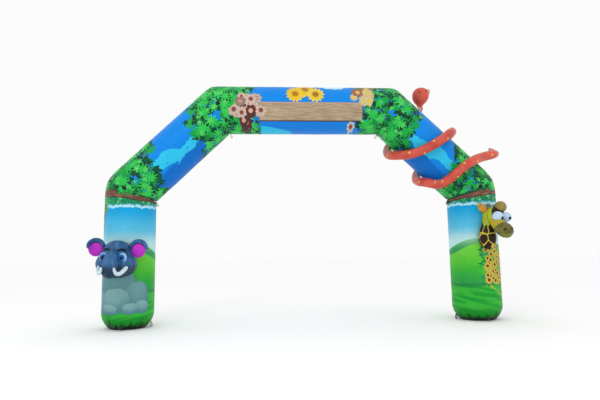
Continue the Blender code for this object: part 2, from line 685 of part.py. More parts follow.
def add_snake():
    rows = snake_rows()
    neck = snake_head_centre(SNAKE_HEAD[0][0] - GAP)
    down = Vector((0, 0, -1))
    stations = smooth_stations([(neck, SNAKE_NECK_RADIUS)] + [row[1:] for row in rows],
                               SNAKE_STEP)
    seam_place = next(place for turn, place, _ in rows if turn >= SNAKE_SEAM_TURN)
    cut = min(range(len(stations)), key=lambda i: (stations[i][0] - seam_place).length)
    body = stations[:cut + 1]
    tail = stations[cut:]
    way = (tail[1][0] - body[-2][0]).normalized()
    tail[0] = (tail[0][0] + way * GAP, tail[0][1])
    add_object("snake_body", snake_skin("snake_body", body, down, way), "red cloth")
    add_object("snake_tail", snake_skin("snake_tail", tail, way, None), "red cloth")
    add_snake_head()


def snake_skin(name, stations, first_way, last_way):
    """A length of the snake, flat where it is sewn on. With no last way it ends in a tip."""
    across = Vector((0, 1, 0))
    rings = []
    count = len(stations)
    for i, (place, radius) in enumerate(stations):
        tangent = (stations[min(i + 1, count - 1)][0] - stations[max(i - 1, 0)][0]).normalized()
        if i == 0:
            tangent = first_way
        if i == count - 1 and last_way:
            tangent = last_way
        across = (across - tangent * across.dot(tangent)).normalized()
        rings.append(circle(place, across, tangent.cross(across), radius, radius, SNAKE_SIDES))
    tip = None
    if last_way is None:
        tip = stations[-1][0] + (stations[-1][0] - stations[-2][0]) * 0.4
    return loft(name, rings, None, tip)


def snake_head_skin(name, grow=0.0):
    rings = [circle(snake_head_centre(height), Vector((1, 0, 0)), Vector((0, 1, 0)),
                    half_width + grow, half_width * SNAKE_HEAD_DEPTH + grow, 18)
             for height, half_width in SNAKE_HEAD]
    return loft(name, rings, None, snake_head_centre(SNAKE_HEAD_TOP + grow))


def add_snake_head():
    add_object("snake_head", snake_head_skin("snake_head"), "red cloth")
    cutter = add_object("snake_head_cutter", snake_head_skin("snake_head_cutter", FIT),
                        "black cloth")
    for word, centre in zip(("front", "back"), SNAKE_EYES):
        name = "snake_eye_" + word
        eye = add_object(name, ball(name, Vector(centre), (SNAKE_EYE_RADIUS,) * 3, sides=12),
                         "cream cloth")
        cut_with(eye, [cutter])


def move_to_origin():
    """Move every piece and cutter, so that the pieces' box stands with its middle on the origin."""
    bpy.context.view_layer.update()
    graph = bpy.context.evaluated_depsgraph_get()
    corners = [Vector(corner) for piece in bpy.data.objects if not piece.hide_render
               for corner in piece.evaluated_get(graph).bound_box]
    low = Vector([min(corner[axis] for corner in corners) for axis in range(3)])
    high = Vector([max(corner[axis] for corner in corners) for axis in range(3)])
    shift = Vector((-(low.x + high.x) / 2, -(low.y + high.y) / 2, -low.z))
    for piece in bpy.data.objects:
        piece.data.transform(Matrix.Translation(shift))


clear_scene()
add_arch()
add_patches_and_loops()
add_elephant()
add_giraffe()
add_snake()
move_to_origin()
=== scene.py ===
"""Looks of an inflatable event arch with an elephant, a giraffe and a snake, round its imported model.

Every skin is built here in the arch's own measure: metres, from the ground midway between the
legs, +X along the bar, -Y out of the front. Each object then stands at MIDDLE, so the Object
coordinates of its material are in the arch's measure too.
"""
import math
import random

import bmesh
import bpy
import numpy as np
from mathutils import Matrix, Vector, noise


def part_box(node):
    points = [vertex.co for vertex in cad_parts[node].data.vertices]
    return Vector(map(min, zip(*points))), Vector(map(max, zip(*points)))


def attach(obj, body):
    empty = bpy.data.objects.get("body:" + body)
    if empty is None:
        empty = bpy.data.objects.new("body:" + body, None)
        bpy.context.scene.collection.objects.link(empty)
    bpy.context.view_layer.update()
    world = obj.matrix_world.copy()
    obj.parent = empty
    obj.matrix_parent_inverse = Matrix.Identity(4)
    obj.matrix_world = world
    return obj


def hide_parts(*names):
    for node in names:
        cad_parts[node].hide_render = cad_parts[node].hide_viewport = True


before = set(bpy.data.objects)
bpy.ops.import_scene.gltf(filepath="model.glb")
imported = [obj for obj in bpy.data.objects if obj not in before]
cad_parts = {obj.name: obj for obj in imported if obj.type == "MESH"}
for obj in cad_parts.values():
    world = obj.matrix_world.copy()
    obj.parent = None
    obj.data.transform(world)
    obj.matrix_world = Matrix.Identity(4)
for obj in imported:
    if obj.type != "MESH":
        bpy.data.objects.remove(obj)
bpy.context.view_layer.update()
LEFT_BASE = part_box("base_left")
RIGHT_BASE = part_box("base_right")
MIDDLE = (LEFT_BASE[0] + LEFT_BASE[1] + RIGHT_BASE[0] + RIGHT_BASE[1]) / 4
MIDDLE.z = 0.0

# The tube of the arch, as in the part's source
TUBE_RADIUS = 0.5
TUBE_SIDES = 192
LEG_X = 3.593
LOWER_SEAM_Z = 2.738
UPPER_SEAM_X = 1.788
BAR_Z = 4.471
GAP = 0.0003
CLEAR = 0.0012                 # between a sewn-on piece and the skin that it sits on
EYE_CLEAR = 0.0006             # between an eye, its ring and its pupil
SHARP_ANGLE = math.radians(50)
SEAM_DRAW = 0.018
SEAM_REACH = 0.05
LOWER_CORNER = {"cut": 0.11, "reach": 0.34}
UPPER_CORNER = {"cut": 0.035, "reach": 0.2}
BASE_HEIGHT = 0.055
SOLE_RADIUS = 0.32
FOOT_ROUND = 0.28
FOOT_POWER = 1.5
FRONT = Vector((0, -1, 0))
BACK = Vector((0, 1, 0))

# Rows of points along a tube: close together at a seam, wider apart in the middle
NEAR_SEAM = (0.0, 0.002, 0.005, 0.01, 0.016, 0.024, 0.034, 0.046, 0.06, 0.076, 0.095, 0.117,
             0.142, 0.17, 0.2, 0.235, 0.275, 0.32, 0.37)
MIDDLE_STEP = 0.035


# Building skins

def open_turn(count):
    """Angles once round, the last short of the first."""
    return np.linspace(-math.pi, math.pi, count, endpoint=False)


def closed_turn(count):
    """Angles once round, with the first again at the end."""
    return np.linspace(-math.pi, math.pi, count + 1)


def placed(name, data):
    """A new object in the scene."""
    made = bpy.data.objects.new(name, data)
    bpy.context.scene.collection.objects.link(made)
    return made


def smooth(mesh):
    mesh.shade_smooth()
    mesh.set_sharp_from_angle(angle=SHARP_ANGLE)
    return mesh


def catmull(rows, share):
    """A point on the smooth curve through rows of numbers, share from 0 to the last row."""
    rows = np.asarray(rows, float)
    last = len(rows) - 1
    i = min(int(share), last - 1)
    t = share - i
    before, one, two, after = (rows[max(i - 1, 0)], rows[i], rows[i + 1], rows[min(i + 2, last)])
    return (one + 0.5 * t * (two - before + t * (2 * before - 5 * one + 4 * two - after
                                                 + t * (3 * (one - two) + after - before))))


def even_rows(rows, step):
    """Rows at an even spacing along the smooth curve through rows of x, y, z and more."""
    shares = np.linspace(0, len(rows) - 1, 24 * (len(rows) - 1) + 1)
    fine = np.array([catmull(rows, share) for share in shares])
    run = np.concatenate(([0], np.cumsum(np.linalg.norm(np.diff(fine[:, :3], axis=0), axis=1))))
    count = max(3, round(run[-1] / step))
    wanted = np.linspace(0, run[-1], count + 1)
    return np.array([np.interp(wanted, run, column) for column in fine.T]).T, wanted


def grid_normals(points):
    """Outward normals of a grid of points that closes round in its second direction."""
    around = np.roll(points, -1, 1) - np.roll(points, 1, 1)
    along = np.gradient(points, axis=0)
    normals = np.cross(around, along)
    normals /= np.maximum(np.linalg.norm(normals, axis=2, keepdims=True), 1e-9)
    centres = points.mean(axis=1, keepdims=True)
    if np.sum(normals * (points - centres)) < 0:
        normals = -normals
    return normals


def skin(name, points, along, around, edge, poles=(None, None)):
    """A closed skin over rows of points, at MIDDLE.

    along and around give the cut cloth's measure in metres, with one more column than there are
    points. edge is each point's distance from the nearest sewn edge.
    """
    rows, columns = points.shape[:2]
    work = bmesh.new()
    cut = work.loops.layers.uv.new("cut")
    sewn = work.verts.layers.float.new("edge")
    corners = [[work.verts.new(point) for point in row] for row in points]
    for i in range(rows):
        for j in range(columns):
            corners[i][j][sewn] = edge[i, j]
    for i in range(rows - 1):
        for j in range(columns):
            k = (j + 1) % columns
            face = work.faces.new((corners[i][j], corners[i][k], corners[i + 1][k],
                                   corners[i + 1][j]))
            for loop, (m, n) in zip(face.loops, ((i, j), (i, j + 1), (i + 1, j + 1), (i + 1, j))):
                loop[cut].uv = (along[m, n], around[m, n])
    for row, pole, i in ((corners[0], poles[0], 0), (corners[-1], poles[1], rows - 1)):
        if pole is None:
            face = work.faces.new(row)
            for loop, j in zip(face.loops, range(columns)):
                loop[cut].uv = (along[i, j], around[i, j])
            continue
        tip = work.verts.new(pole)
        tip[sewn] = edge[i].mean()
        for j in range(columns):
            face = work.faces.new((row[j], row[(j + 1) % columns], tip))
            middle = (around[i, j] + around[i, j + 1]) / 2
            for loop, uv in zip(face.loops, ((along[i, j], around[i, j]),
                                             (along[i, j + 1], around[i, j + 1]),
                                             (along[i, j], middle))):
                loop[cut].uv = uv
    bmesh.ops.recalc_face_normals(work, faces=work.faces)
    mesh = bpy.data.meshes.new(name)
    work.to_mesh(mesh)
    work.free()
    piece = placed(name, smooth(mesh))
    piece.location = MIDDLE
    return piece


def random_creases(seed, count, depth, length, width):
    """Creases round a seam: each a place on the round, a depth, a length and a width."""
    dice = random.Random(seed)
    return [(2 * math.pi * (i + dice.uniform(-0.4, 0.4)) / count - math.pi,
             depth * dice.uniform(0.25, 1.0), length * dice.uniform(0.4, 1.0),
             width * dice.uniform(0.7, 1.4)) for i in range(count)]


def crease_depth(creases, turn, distance, radius):
    """How far the creases draw the skin in at these turns and distances from their seam."""
    total = np.zeros(np.broadcast(turn, distance).shape)
    for place, depth, length, width in creases:
        gap = (turn - place + math.pi) % (2 * math.pi) - math.pi
        spread = width * (1 + 2.5 * distance / length)
        fade = np.clip(1 - distance / length, 0, 1) ** 2
        total += depth * fade * np.exp(-(gap * radius / spread) ** 2)
    return total


def swell(points, strength, size, seed):
    """Slow rises and dips of blown-up cloth, one number for each point."""
    shape = points.shape[:2]
    values = [noise.noise(Vector(point) / size + Vector((seed, 0, 0)))
              for point in points.reshape(-1, 3)]
    return strength * np.array(values).reshape(shape)


def finish_piece(piece, material):
    """Put a piece, with its finish, in the place of the node that it is named for."""
    piece.data.materials.clear()
    piece.data.materials.append(material)
    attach(piece, "root")
    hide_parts(piece.name.rsplit("_", 1)[0])
    return piece


def trimmed(piece, cutters):
    """Cut a piece clear of its neighbours, and keep the result as its mesh."""
    mesh = cut_clear(piece, cutters, "EXACT")
    if not mesh.polygons:
        mesh = cut_clear(piece, cutters, "FAST")
    piece.data = smooth(mesh)
    return piece


def cut_clear(piece, cutters, solver):
    for cutter in cutters:
        step = piece.modifiers.new("clear of neighbour", "BOOLEAN")
        step.operation = "DIFFERENCE"
        step.solver = solver
        step.object = cutter
    graph = bpy.context.evaluated_depsgraph_get()
    mesh = bpy.data.meshes.new_from_object(piece.evaluated_get(graph))
    piece.modifiers.clear()
    return mesh


# The arch

def centre_line():
    return [Vector((-LEG_X, 0, 0)), Vector((-LEG_X, 0, LOWER_SEAM_Z)),
            Vector((-UPPER_SEAM_X, 0, BAR_Z)), Vector((UPPER_SEAM_X, 0, BAR_Z))]


def foot_radius(height):
    rest = np.clip(1 - np.asarray(height) / FOOT_ROUND, 0, 1)
    return SOLE_RADIUS + (TUBE_RADIUS - SOLE_RADIUS) * (1 - rest ** FOOT_POWER) ** (1 / FOOT_POWER)


def seam_in(turn, distance, corner):
    """How far a seam and its softened corner draw the tube in."""
    draw = SEAM_DRAW * np.clip(1 - distance / SEAM_REACH, 0, 1) ** 2
    outer = np.clip(np.sin(turn), 0, 1) ** 3
    soft = corner["cut"] * outer * np.clip(1 - distance / corner["reach"], 0, 1) ** 2
    return TUBE_RADIUS * (draw + soft)


def tube(name, start, end, ends, seed):
    """One length of the arch's tube between two ends.

    Each end is a place on the centre line, the mitre's normal and the softened corner, and its
    creases. Without a corner the end is the plain seam on the base.
    """
    axis = (end - start).normalized()
    outer = Vector((-axis.z, 0, axis.x))
    turn = open_turn(TUBE_SIDES)
    spoke = (np.outer(np.cos(turn), FRONT) + np.outer(np.sin(turn), outer))
    limits = []
    for place, (mitre, _, _), way in zip((start, end), ends, (1, -1)):
        slide = (GAP / 2 - way * TUBE_RADIUS * (spoke @ np.array(mitre))) / axis.dot(mitre)
        limits.append((place - start).dot(axis) + way * slide)
    low, high = limits
    rows = [low + near for near in NEAR_SEAM]
    inner_low = low + NEAR_SEAM[-1]
    inner_high = high - NEAR_SEAM[-1]
    count = max(4, round(float(np.mean(inner_high - inner_low)) / MIDDLE_STEP))
    rows += [inner_low + (inner_high - inner_low) * i / count for i in range(1, count)]
    rows += [high - near for near in reversed(NEAR_SEAM)]
    place = np.array(rows)
    radius = np.full(place.shape, TUBE_RADIUS)
    edges = (place - low, high - place)
    for distance, (_, corner, creases) in zip(edges, ends):
        if corner is None:
            radius = np.minimum(radius, foot_radius(place))
        else:
            radius -= seam_in(turn, distance, corner)
        radius -= crease_depth(creases, turn, distance, TUBE_RADIUS)
    points = np.array(start) + place[..., None] * np.array(axis) + radius[..., None] * spoke
    points += swell(points, 0.0035, 0.45, seed)[..., None] * spoke
    full_turn = np.append(turn, math.pi) * TUBE_RADIUS
    along = np.concatenate((place, place[:, :1]), axis=1)
    around = np.broadcast_to(full_turn, along.shape)
    return skin(name, points, along, around, np.minimum(*edges))


def mirror(piece):
    """Turn a left-hand skin into its right-hand twin."""
    piece.data.transform(Matrix.Scale(-1, 4, Vector((1, 0, 0))))
    piece.data.flip_normals()
    return piece


def corner_creases(seed, depth):
    """Creases of a mitred seam, deepest on the inner side of the corner."""
    return [(place, amount * (1 + 1.3 * max(0.0, -math.sin(place))), length, width)
            for place, amount, length, width in random_creases(seed, 46, depth, 0.26, 0.017)]


def add_arch(cloth):
    foot, seam, upper, bar_end = centre_line()
    up = (seam - foot).normalized()
    slant = (upper - seam).normalized()
    level = (bar_end - upper).normalized()
    lower_mitre = (up + slant).normalized()
    upper_mitre = (slant + level).normalized()
    far_mitre = Vector((upper_mitre.x, 0, -upper_mitre.z))
    for seed, hand in ((1, "left"), (2, "right")):
        lower = corner_creases(seed, 0.006)
        top = corner_creases(seed + 10, 0.005)
        gathers = random_creases(seed + 20, 58, 0.006, 0.3, 0.012)
        leg = tube("leg_%s_cloth" % hand, foot, seam,
                   ((up, None, gathers), (lower_mitre, LOWER_CORNER, lower)), seed)
        shoulder = tube("shoulder_%s_cloth" % hand, seam, upper,
                        ((lower_mitre, LOWER_CORNER, lower), (upper_mitre, UPPER_CORNER, top)),
                        seed + 30)
        if hand == "right":
            mirror(leg)
            mirror(shoulder)
        finish_piece(leg, cloth["leg_" + hand])
        finish_piece(shoulder, cloth["shoulder"])
        add_base(hand, gathers, cloth["black"])
    bar = tube("bar_cloth", upper, bar_end,
               ((upper_mitre, UPPER_CORNER, corner_creases(11, 0.005)),
                (far_mitre, UPPER_CORNER, corner_creases(12, 0.005))), 50)
    finish_piece(bar, cloth["bar"])


def add_base(hand, gathers, material):
    """The black panel under a leg: its flat sole, a turned edge and the rounded wall."""
    heights = np.array([0.0, 0.0, 0.002, 0.007, 0.014, 0.024, 0.034, 0.042, 0.048, 0.052, BASE_HEIGHT])
    inset = np.array([0.03, 0.006, 0.001, 0, 0, 0, 0, 0, 0, 0.001, 0.004])
    turn = open_turn(TUBE_SIDES)
    spoke = np.outer(np.cos(turn), FRONT) + np.outer(np.sin(turn), Vector((-1, 0, 0)))
    distance = np.clip(BASE_HEIGHT - heights, 0, 1)[:, None] + np.zeros(TUBE_SIDES)
    radius = (foot_radius(heights) - inset)[:, None] - crease_depth(gathers, turn, distance * 3,
                                                                   TUBE_RADIUS)
    radius[:2] = (foot_radius(heights[:2]) - inset[:2])[:, None]
    points = radius[..., None] * spoke + np.array([-LEG_X, 0, 0])
    points[..., 2] += heights[:, None]
    along = np.broadcast_to(heights[:, None], (len(heights), TUBE_SIDES + 1))
    around = np.broadcast_to(np.append(turn, math.pi) * TUBE_RADIUS, along.shape)
    base = skin("base_%s_cloth" % hand, points, along, around, distance)
    if hand == "right":
        mirror(base)
    finish_piece(base, material)


# Patches and webbing loops

PATCH_RADIUS = 0.04
PATCH_DEPTH = 0.008
PATCH_ROWS = (                 # share of the radius, share of the depth
    (1.0, 0.0), (1.0, 0.25), (0.985, 0.42), (0.94, 0.52), (0.9, 0.48), (0.86, 0.46), (0.8, 0.6),
    (0.6, 0.8), (0.35, 0.94), (0.15, 1.0))
WEBBING_WIDTH = 0.05
WEBBING_DEPTH = 0.004
LOOP_DROP = 0.1
LOOP_SPREAD = 0.036
FOOT_LOOP_Z = 0.115
FOOT_LOOP_LEAN = 0.4
CORNER_LOOP_LEAN = 0.35


def add_patch(node, x, z, side, material):
    """A round patch sewn over the end of a seam, with a row of stitches in a groove."""
    turn = np.linspace(0, 2 * math.pi, 48, endpoint=False)
    share = np.array(PATCH_ROWS)
    points = np.zeros((len(share), 48, 3))
    points[..., 0] = x + PATCH_RADIUS * share[:, :1] * np.cos(turn)
    points[..., 2] = z + PATCH_RADIUS * share[:, :1] * np.sin(turn)
    points[..., 1] = side * (TUBE_RADIUS + GAP + PATCH_DEPTH * share[:, 1:])
    along = np.broadcast_to(PATCH_RADIUS * share[:, :1], (len(share), 49))
    around = np.broadcast_to(np.linspace(0, 2 * math.pi, 49) * PATCH_RADIUS, along.shape)
    edge = PATCH_RADIUS * (1 - share[:, :1]) + np.zeros(48)
    middle = Vector((x, side * (TUBE_RADIUS + GAP + PATCH_DEPTH), z))
    piece = skin(node + "_cloth", points, along, around, edge, (None, middle))
    finish_piece(piece, material)


def loop_outline(share):
    """Half spread and drop of a hanging loop of webbing, round its edge."""
    angle = 2 * math.pi * share
    drop = 0.5 - 0.5 * math.cos(angle)
    return math.sin(angle) * (0.35 + 0.65 * drop) / 1.3, drop


def add_loop(node, top, out, width_axis, lean, material):
    """A folded strap: it runs round a drop-shaped hole, its two ends sewn flat together."""
    down = (Vector((0, 0, -1)) + lean).normalized()
    steps = 64
    section = []
    for i in range(20):
        angle = 2 * math.pi * i / 20
        wide = math.copysign(abs(math.cos(angle)) ** 0.35, math.cos(angle))
        deep = math.copysign(abs(math.sin(angle)) ** 0.8, math.sin(angle))
        section.append((wide * 0.49 * WEBBING_WIDTH, 0.5 + 0.5 * deep))
    points = np.zeros((steps, 20, 3))
    for i in range(steps):
        spread, drop = loop_outline((i + 0.5) / steps)
        for j, (wide, deep) in enumerate(section):
            inset = deep * 1.4 * WEBBING_DEPTH + 0.0006
            place = (top + out * (LOOP_SPREAD / 2 + GAP + spread * (LOOP_SPREAD - 2 * inset))
                     + down * (drop * (LOOP_DROP - 2 * inset) + inset) + width_axis * wide)
            points[i, j] = place
    closed = np.concatenate((points, points[:1]))
    run = np.concatenate(([0], np.cumsum(np.linalg.norm(np.diff(closed[:, 0], axis=0), axis=1))))
    work = bmesh.new()
    cut = work.loops.layers.uv.new("cut")
    rows = [[work.verts.new(point) for point in row] for row in points]
    for i in range(steps):
        k = (i + 1) % steps
        for j in range(20):
            m = (j + 1) % 20
            face = work.faces.new((rows[i][j], rows[i][m], rows[k][m], rows[k][j]))
            for loop, (a, b) in zip(face.loops, ((i, j), (i, j + 1), (i + 1, j + 1), (i + 1, j))):
                loop[cut].uv = (run[a], section[b % 20][0])
    bmesh.ops.recalc_face_normals(work, faces=work.faces)
    mesh = bpy.data.meshes.new(node + "_webbing")
    work.to_mesh(mesh)
    work.free()
    mesh.shade_smooth()
    piece = placed(node + "_webbing", mesh)
    piece.location = MIDDLE
    finish_piece(piece, material)


def add_patches_and_loops(cloth):
    for side, face in ((-1, "front"), (1, "back")):
        for hand, word in ((-1, "left"), (1, "right")):
            add_patch("patch_lower_%s_%s" % (word, face), hand * LEG_X, LOWER_SEAM_Z, side,
                      cloth["black"])
            add_patch("patch_upper_%s_%s" % (word, face), hand * UPPER_SEAM_X, BAR_Z, side,
                      cloth["black"])
    crease = TUBE_RADIUS * (1 - SEAM_DRAW)
    corners = centre_line()
    for hand, word in ((-1, "left"), (1, "right")):
        for level, index in (("lower", 1), ("upper", 2)):
            before = (corners[index] - corners[index - 1]).normalized()
            after = (corners[index + 1] - corners[index]).normalized()
            mitre = (before + after).normalized()
            inward = Vector((mitre.z, 0, -mitre.x))
            seam = corners[index] + inward * (crease / before.dot(mitre) + GAP)
            seam.x *= -hand
            add_loop("loop_%s_%s" % (level, word), seam - Vector((0, 0, LOOP_SPREAD * 0.4)),
                     Vector((-hand, 0, 0)), Vector((0, 1, 0)),
                     Vector((-hand * CORNER_LOOP_LEAN, 0, 0)), cloth["webbing"])
        reach = float(foot_radius(FOOT_LOOP_Z)) + GAP
        for place, out in (("front", FRONT), ("back", BACK), ("inner", Vector((-hand, 0, 0)))):
            top = Vector((hand * LEG_X, 0, FOOT_LOOP_Z)) + out * reach
            add_loop("loop_foot_%s_%s" % (word, place), top, out, Vector((out.y, out.x, 0)),
                     out * (FOOT_LOOP_LEAN * abs(out.y)), cloth["webbing"])


# Blown-up pieces of the animals

def ellipsoid(name, centre, size, turn=None, grow=0.0, sides=64, rows=40, gores=0, seed=0,
              pinch=0.0):
    """A blown-up ball of sewn gores, pinched in at the seams between them."""
    turn = turn or Matrix.Identity(3)
    axes = np.array(turn).T
    size = np.array(size) + grow
    tilt = np.linspace(0, math.pi, rows + 2)[1:-1, None]
    angle = open_turn(sides)[None, :]
    local = np.stack((size[0] * np.sin(tilt) * np.cos(angle), size[1] * np.sin(tilt) * np.sin(angle),
                      -size[2] * np.cos(tilt) + 0 * angle), axis=2)
    points = local @ axes + np.array(centre)
    ring = float(max(size[0], size[1]))
    edge = np.full(points.shape[:2], 1.0)
    if gores:
        step = 2 * math.pi / gores
        gap = np.abs((angle + step / 2) % step - step / 2) * ring * np.sin(tilt)
        edge = gap
        dip = pinch * np.exp(-(gap / (0.06 * ring)) ** 2)
        ripple = 0.25 * pinch * np.exp(-(gap / (0.12 * ring)) ** 2) * np.sin(
            tilt * 46 + seed + 3 * np.sin(angle * 2))
        points -= (dip + ripple)[..., None] * grid_normals(points)
    along = np.concatenate((tilt * size[2] + 0 * angle, tilt * size[2]), axis=1)
    around = np.broadcast_to(closed_turn(sides) * ring, along.shape)
    poles = [Vector(np.array(centre) - axes[2] * size[2]), Vector(np.array(centre) + axes[2] * size[2])]
    return skin(name, points, along, around, edge, poles)


def limb(name, table, step=0.012, sides=48, grow=0.0, flat=1.0, seams=1, pinch=0.003, seed=0,
         ends=(0.0, 0.0)):
    """A blown-up tube through rows of place and radius, rounded off at its ends.

    Lengthwise seams draw it in. ends gives how far each end's gathers reach along it.
    """
    rows, run = even_rows(table, step)
    place = rows[:, :3]
    radius = rows[:, 3] + grow
    tangent = np.gradient(place, axis=0)
    tangent /= np.linalg.norm(tangent, axis=1, keepdims=True)
    angle = open_turn(sides)
    across = np.cross(tangent[0], (0, 1, 0))
    points = np.zeros((len(rows), sides, 3))
    for i in range(len(rows)):
        across = across - tangent[i] * np.dot(across, tangent[i])
        across /= np.linalg.norm(across)
        up = np.cross(tangent[i], across)
        points[i] = (place[i] + radius[i] * (np.outer(np.cos(angle), across)
                                             + flat * np.outer(np.sin(angle), up)))
    step_turn = 2 * math.pi / max(seams, 1)
    gap = np.abs((angle + step_turn / 2) % step_turn - step_turn / 2)[None, :] * radius[:, None]
    edge = gap if seams else np.full(gap.shape, 1.0)
    if seams and pinch and not grow:
        dip = pinch * np.exp(-(gap / 0.012) ** 2)
        dip += 0.35 * pinch * np.exp(-(gap / 0.03) ** 2) * np.sin(run[:, None] * 190 + seed)
        points -= dip[..., None] * grid_normals(points)
    for reach, distance in zip(ends, (run, run[-1] - run)):
        if reach and not grow:
            gathers = random_creases(seed + 5, 18, 0.1 * float(radius.max()) * 0.5, reach, 0.012)
            dip = crease_depth(gathers, angle[None, :], distance[:, None], float(radius.mean()))
            points -= dip[..., None] * grid_normals(points)
    caps = []
    for i, way in ((0, -1), (-1, 1)):
        tilts = np.linspace(0, math.pi / 2, 9)[1:-1]
        caps.append([(place[i] + (points[i] - place[i]) * math.cos(t)
                      + way * tangent[i] * radius[i] * 0.66 * math.sin(t)) for t in tilts])
    tips = [Vector(place[i] + way * tangent[i] * radius[i] * 0.66) for i, way in ((0, -1), (-1, 1))]
    grid = np.array(caps[0][::-1] + list(points) + caps[1])
    cap_run = 0.66 * np.sin(np.linspace(0, math.pi / 2, 9)[1:-1])
    full_run = np.concatenate((-cap_run[::-1] * radius[0], run, run[-1] + cap_run * radius[-1]))
    full_radius = np.full(len(grid), float(radius.mean()))
    along = np.broadcast_to(full_run[:, None], (len(grid), sides + 1))
    around = closed_turn(sides)[None, :] * full_radius[:, None]
    edge = np.concatenate((np.repeat(edge[:1], len(caps[0]), 0), edge,
                           np.repeat(edge[-1:], len(caps[1]), 0)))
    return skin(name, grid, along, around, edge, tips)


# The elephant

ELEPHANT = Vector((-3.653, -0.62, 1.355))
ELEPHANT_TILT = math.radians(2.5)
ELEPHANT_DEPTH = 0.84
ELEPHANT_HEAD = (              # height over the centre, half width
    (-0.352, 0.01), (-0.335, 0.13), (-0.29, 0.25), (-0.225, 0.325), (-0.16, 0.362), (-0.09, 0.376),
    (-0.03, 0.364), (0.08, 0.312), (0.18, 0.262), (0.25, 0.225), (0.305, 0.17), (0.34, 0.1),
    (0.357, 0.01))
TRUNK = (                      # sideways, forward, height over the centre, radius
    (0.0, 0.15, 0.16, 0.055), (0.0, 0.26, 0.095, 0.09), (0.0, 0.335, 0.0, 0.128),
    (0.0, 0.36, -0.1, 0.138), (-0.005, 0.365, -0.19, 0.132), (-0.015, 0.375, -0.27, 0.115))
TUSK = (
    (0.242, 0.19, -0.14, 0.04), (0.228, 0.3, -0.2, 0.039), (0.195, 0.39, -0.25, 0.037),
    (0.152, 0.45, -0.254, 0.033), (0.122, 0.484, -0.205, 0.027), (0.112, 0.494, -0.155, 0.018))
BROW = (
    (0.075, 0.225, 0.165, 0.012), (0.115, 0.215, 0.185, 0.018), (0.16, 0.195, 0.183, 0.018),
    (0.2, 0.165, 0.16, 0.012))
EAR_OFFSET = Vector((0.395, -0.02, 0.215))
EAR_RADIUS = 0.178
EAR_DEPTH = 0.05
EAR_RIM = 0.06
EAR_RIM_INNER = (0.72, 0.57)
EAR_SEAM = 0.02
EAR_SIDES = 96
ELEPHANT_EYE = Vector((0.175, -0.235, 0.035))
ELEPHANT_EYE_SIZE = Vector((0.07, 0.05, 0.085))
ELEPHANT_SQUINT = 0.005
IRIS_SINK = 0.014


def on_elephant(sideways, forward, height, hand=1):
    local = Vector((hand * sideways, -forward, height))
    return ELEPHANT + Matrix.Rotation(ELEPHANT_TILT, 3, "Y") @ local


def elephant_skin(name, grow=0.0):
    """The head: cloth gores from the chin to the crown, pinched where they are sewn."""
    shares = np.linspace(0.35, len(ELEPHANT_HEAD) - 1.35, 64)
    table = np.array([catmull(ELEPHANT_HEAD, share) for share in shares])
    sides = 112
    angle = open_turn(sides)
    half = table[:, 1] + grow
    deep = table[:, 1] * ELEPHANT_DEPTH + grow
    tilt = np.array(Matrix.Rotation(ELEPHANT_TILT, 3, "Y"))
    local = np.stack((half[:, None] * np.cos(angle), deep[:, None] * np.sin(angle),
                      table[:, :1] + 0 * angle), axis=2)
    points = local @ tilt.T + np.array(ELEPHANT)
    step = math.pi / 3
    gap = np.abs((angle + math.pi / 6 + step / 2) % step - step / 2) * half[:, None]
    if not grow:
        rise = table[:, :1]
        dip = 0.007 * np.exp(-(gap / 0.014) ** 2)
        dip += 0.0022 * np.exp(-(gap / 0.05) ** 2) * np.sin(rise * 120 + 2 * np.sin(3 * angle))
        crown = np.clip((rise - 0.18) / 0.18, 0, 1) + np.clip((-0.2 - rise) / 0.15, 0, 1)
        dip += 0.0035 * crown * np.sin(angle * 18 + 4 * rise) * np.sin(angle * 5 + 1) ** 2
        points -= dip[..., None] * grid_normals(points)
        points += swell(points, 0.006, 0.16, 7)[..., None] * grid_normals(points)
    along = np.broadcast_to(table[:, :1], (64, sides + 1))
    around = closed_turn(sides)[None, :] * 0.33 + 0 * table[:, :1]
    poles = [on_elephant(0, 0, table[0, 0] - 0.004 - grow),
             on_elephant(0, 0, table[-1, 0] + 0.004 + grow)]
    return skin(name, points, along, around, gap, poles)


def elephant_limb(name, rows, hand=1, **settings):
    table = [tuple(on_elephant(row[0], row[1], row[2], hand)) + (row[3],) for row in rows]
    return limb(name, table, **settings)


def rim_inner(rise):
    side, top = EAR_RIM_INNER
    return side + (top - side) * max(0.0, rise)


def below(rise):
    """How far the ear narrows under its middle."""
    return 1 - 0.4 * min(1.0, max(0.0, -2 * rise))


def ear_grid(centre, profile):
    """Rows of an ear from pairs of radius and depth, each given by the height on the ear."""
    turn = open_turn(EAR_SIDES)
    points = np.zeros((len(profile), EAR_SIDES, 3))
    for i, (radius_at, depth_at) in enumerate(profile):
        for j, angle in enumerate(turn):
            rise = math.sin(angle)
            radius = EAR_RADIUS * radius_at(rise)
            points[i, j] = (centre.x + radius * math.cos(angle), centre.y + depth_at(rise),
                            centre.z + radius * rise)
    along = np.cumsum(np.concatenate((np.zeros((1, EAR_SIDES)), np.linalg.norm(
        np.diff(points, axis=0), axis=2))), axis=0)
    along = np.concatenate((along, along[:, :1]), axis=1)
    around = np.broadcast_to(closed_turn(EAR_SIDES) * EAR_RADIUS, along.shape)
    return points, along, around


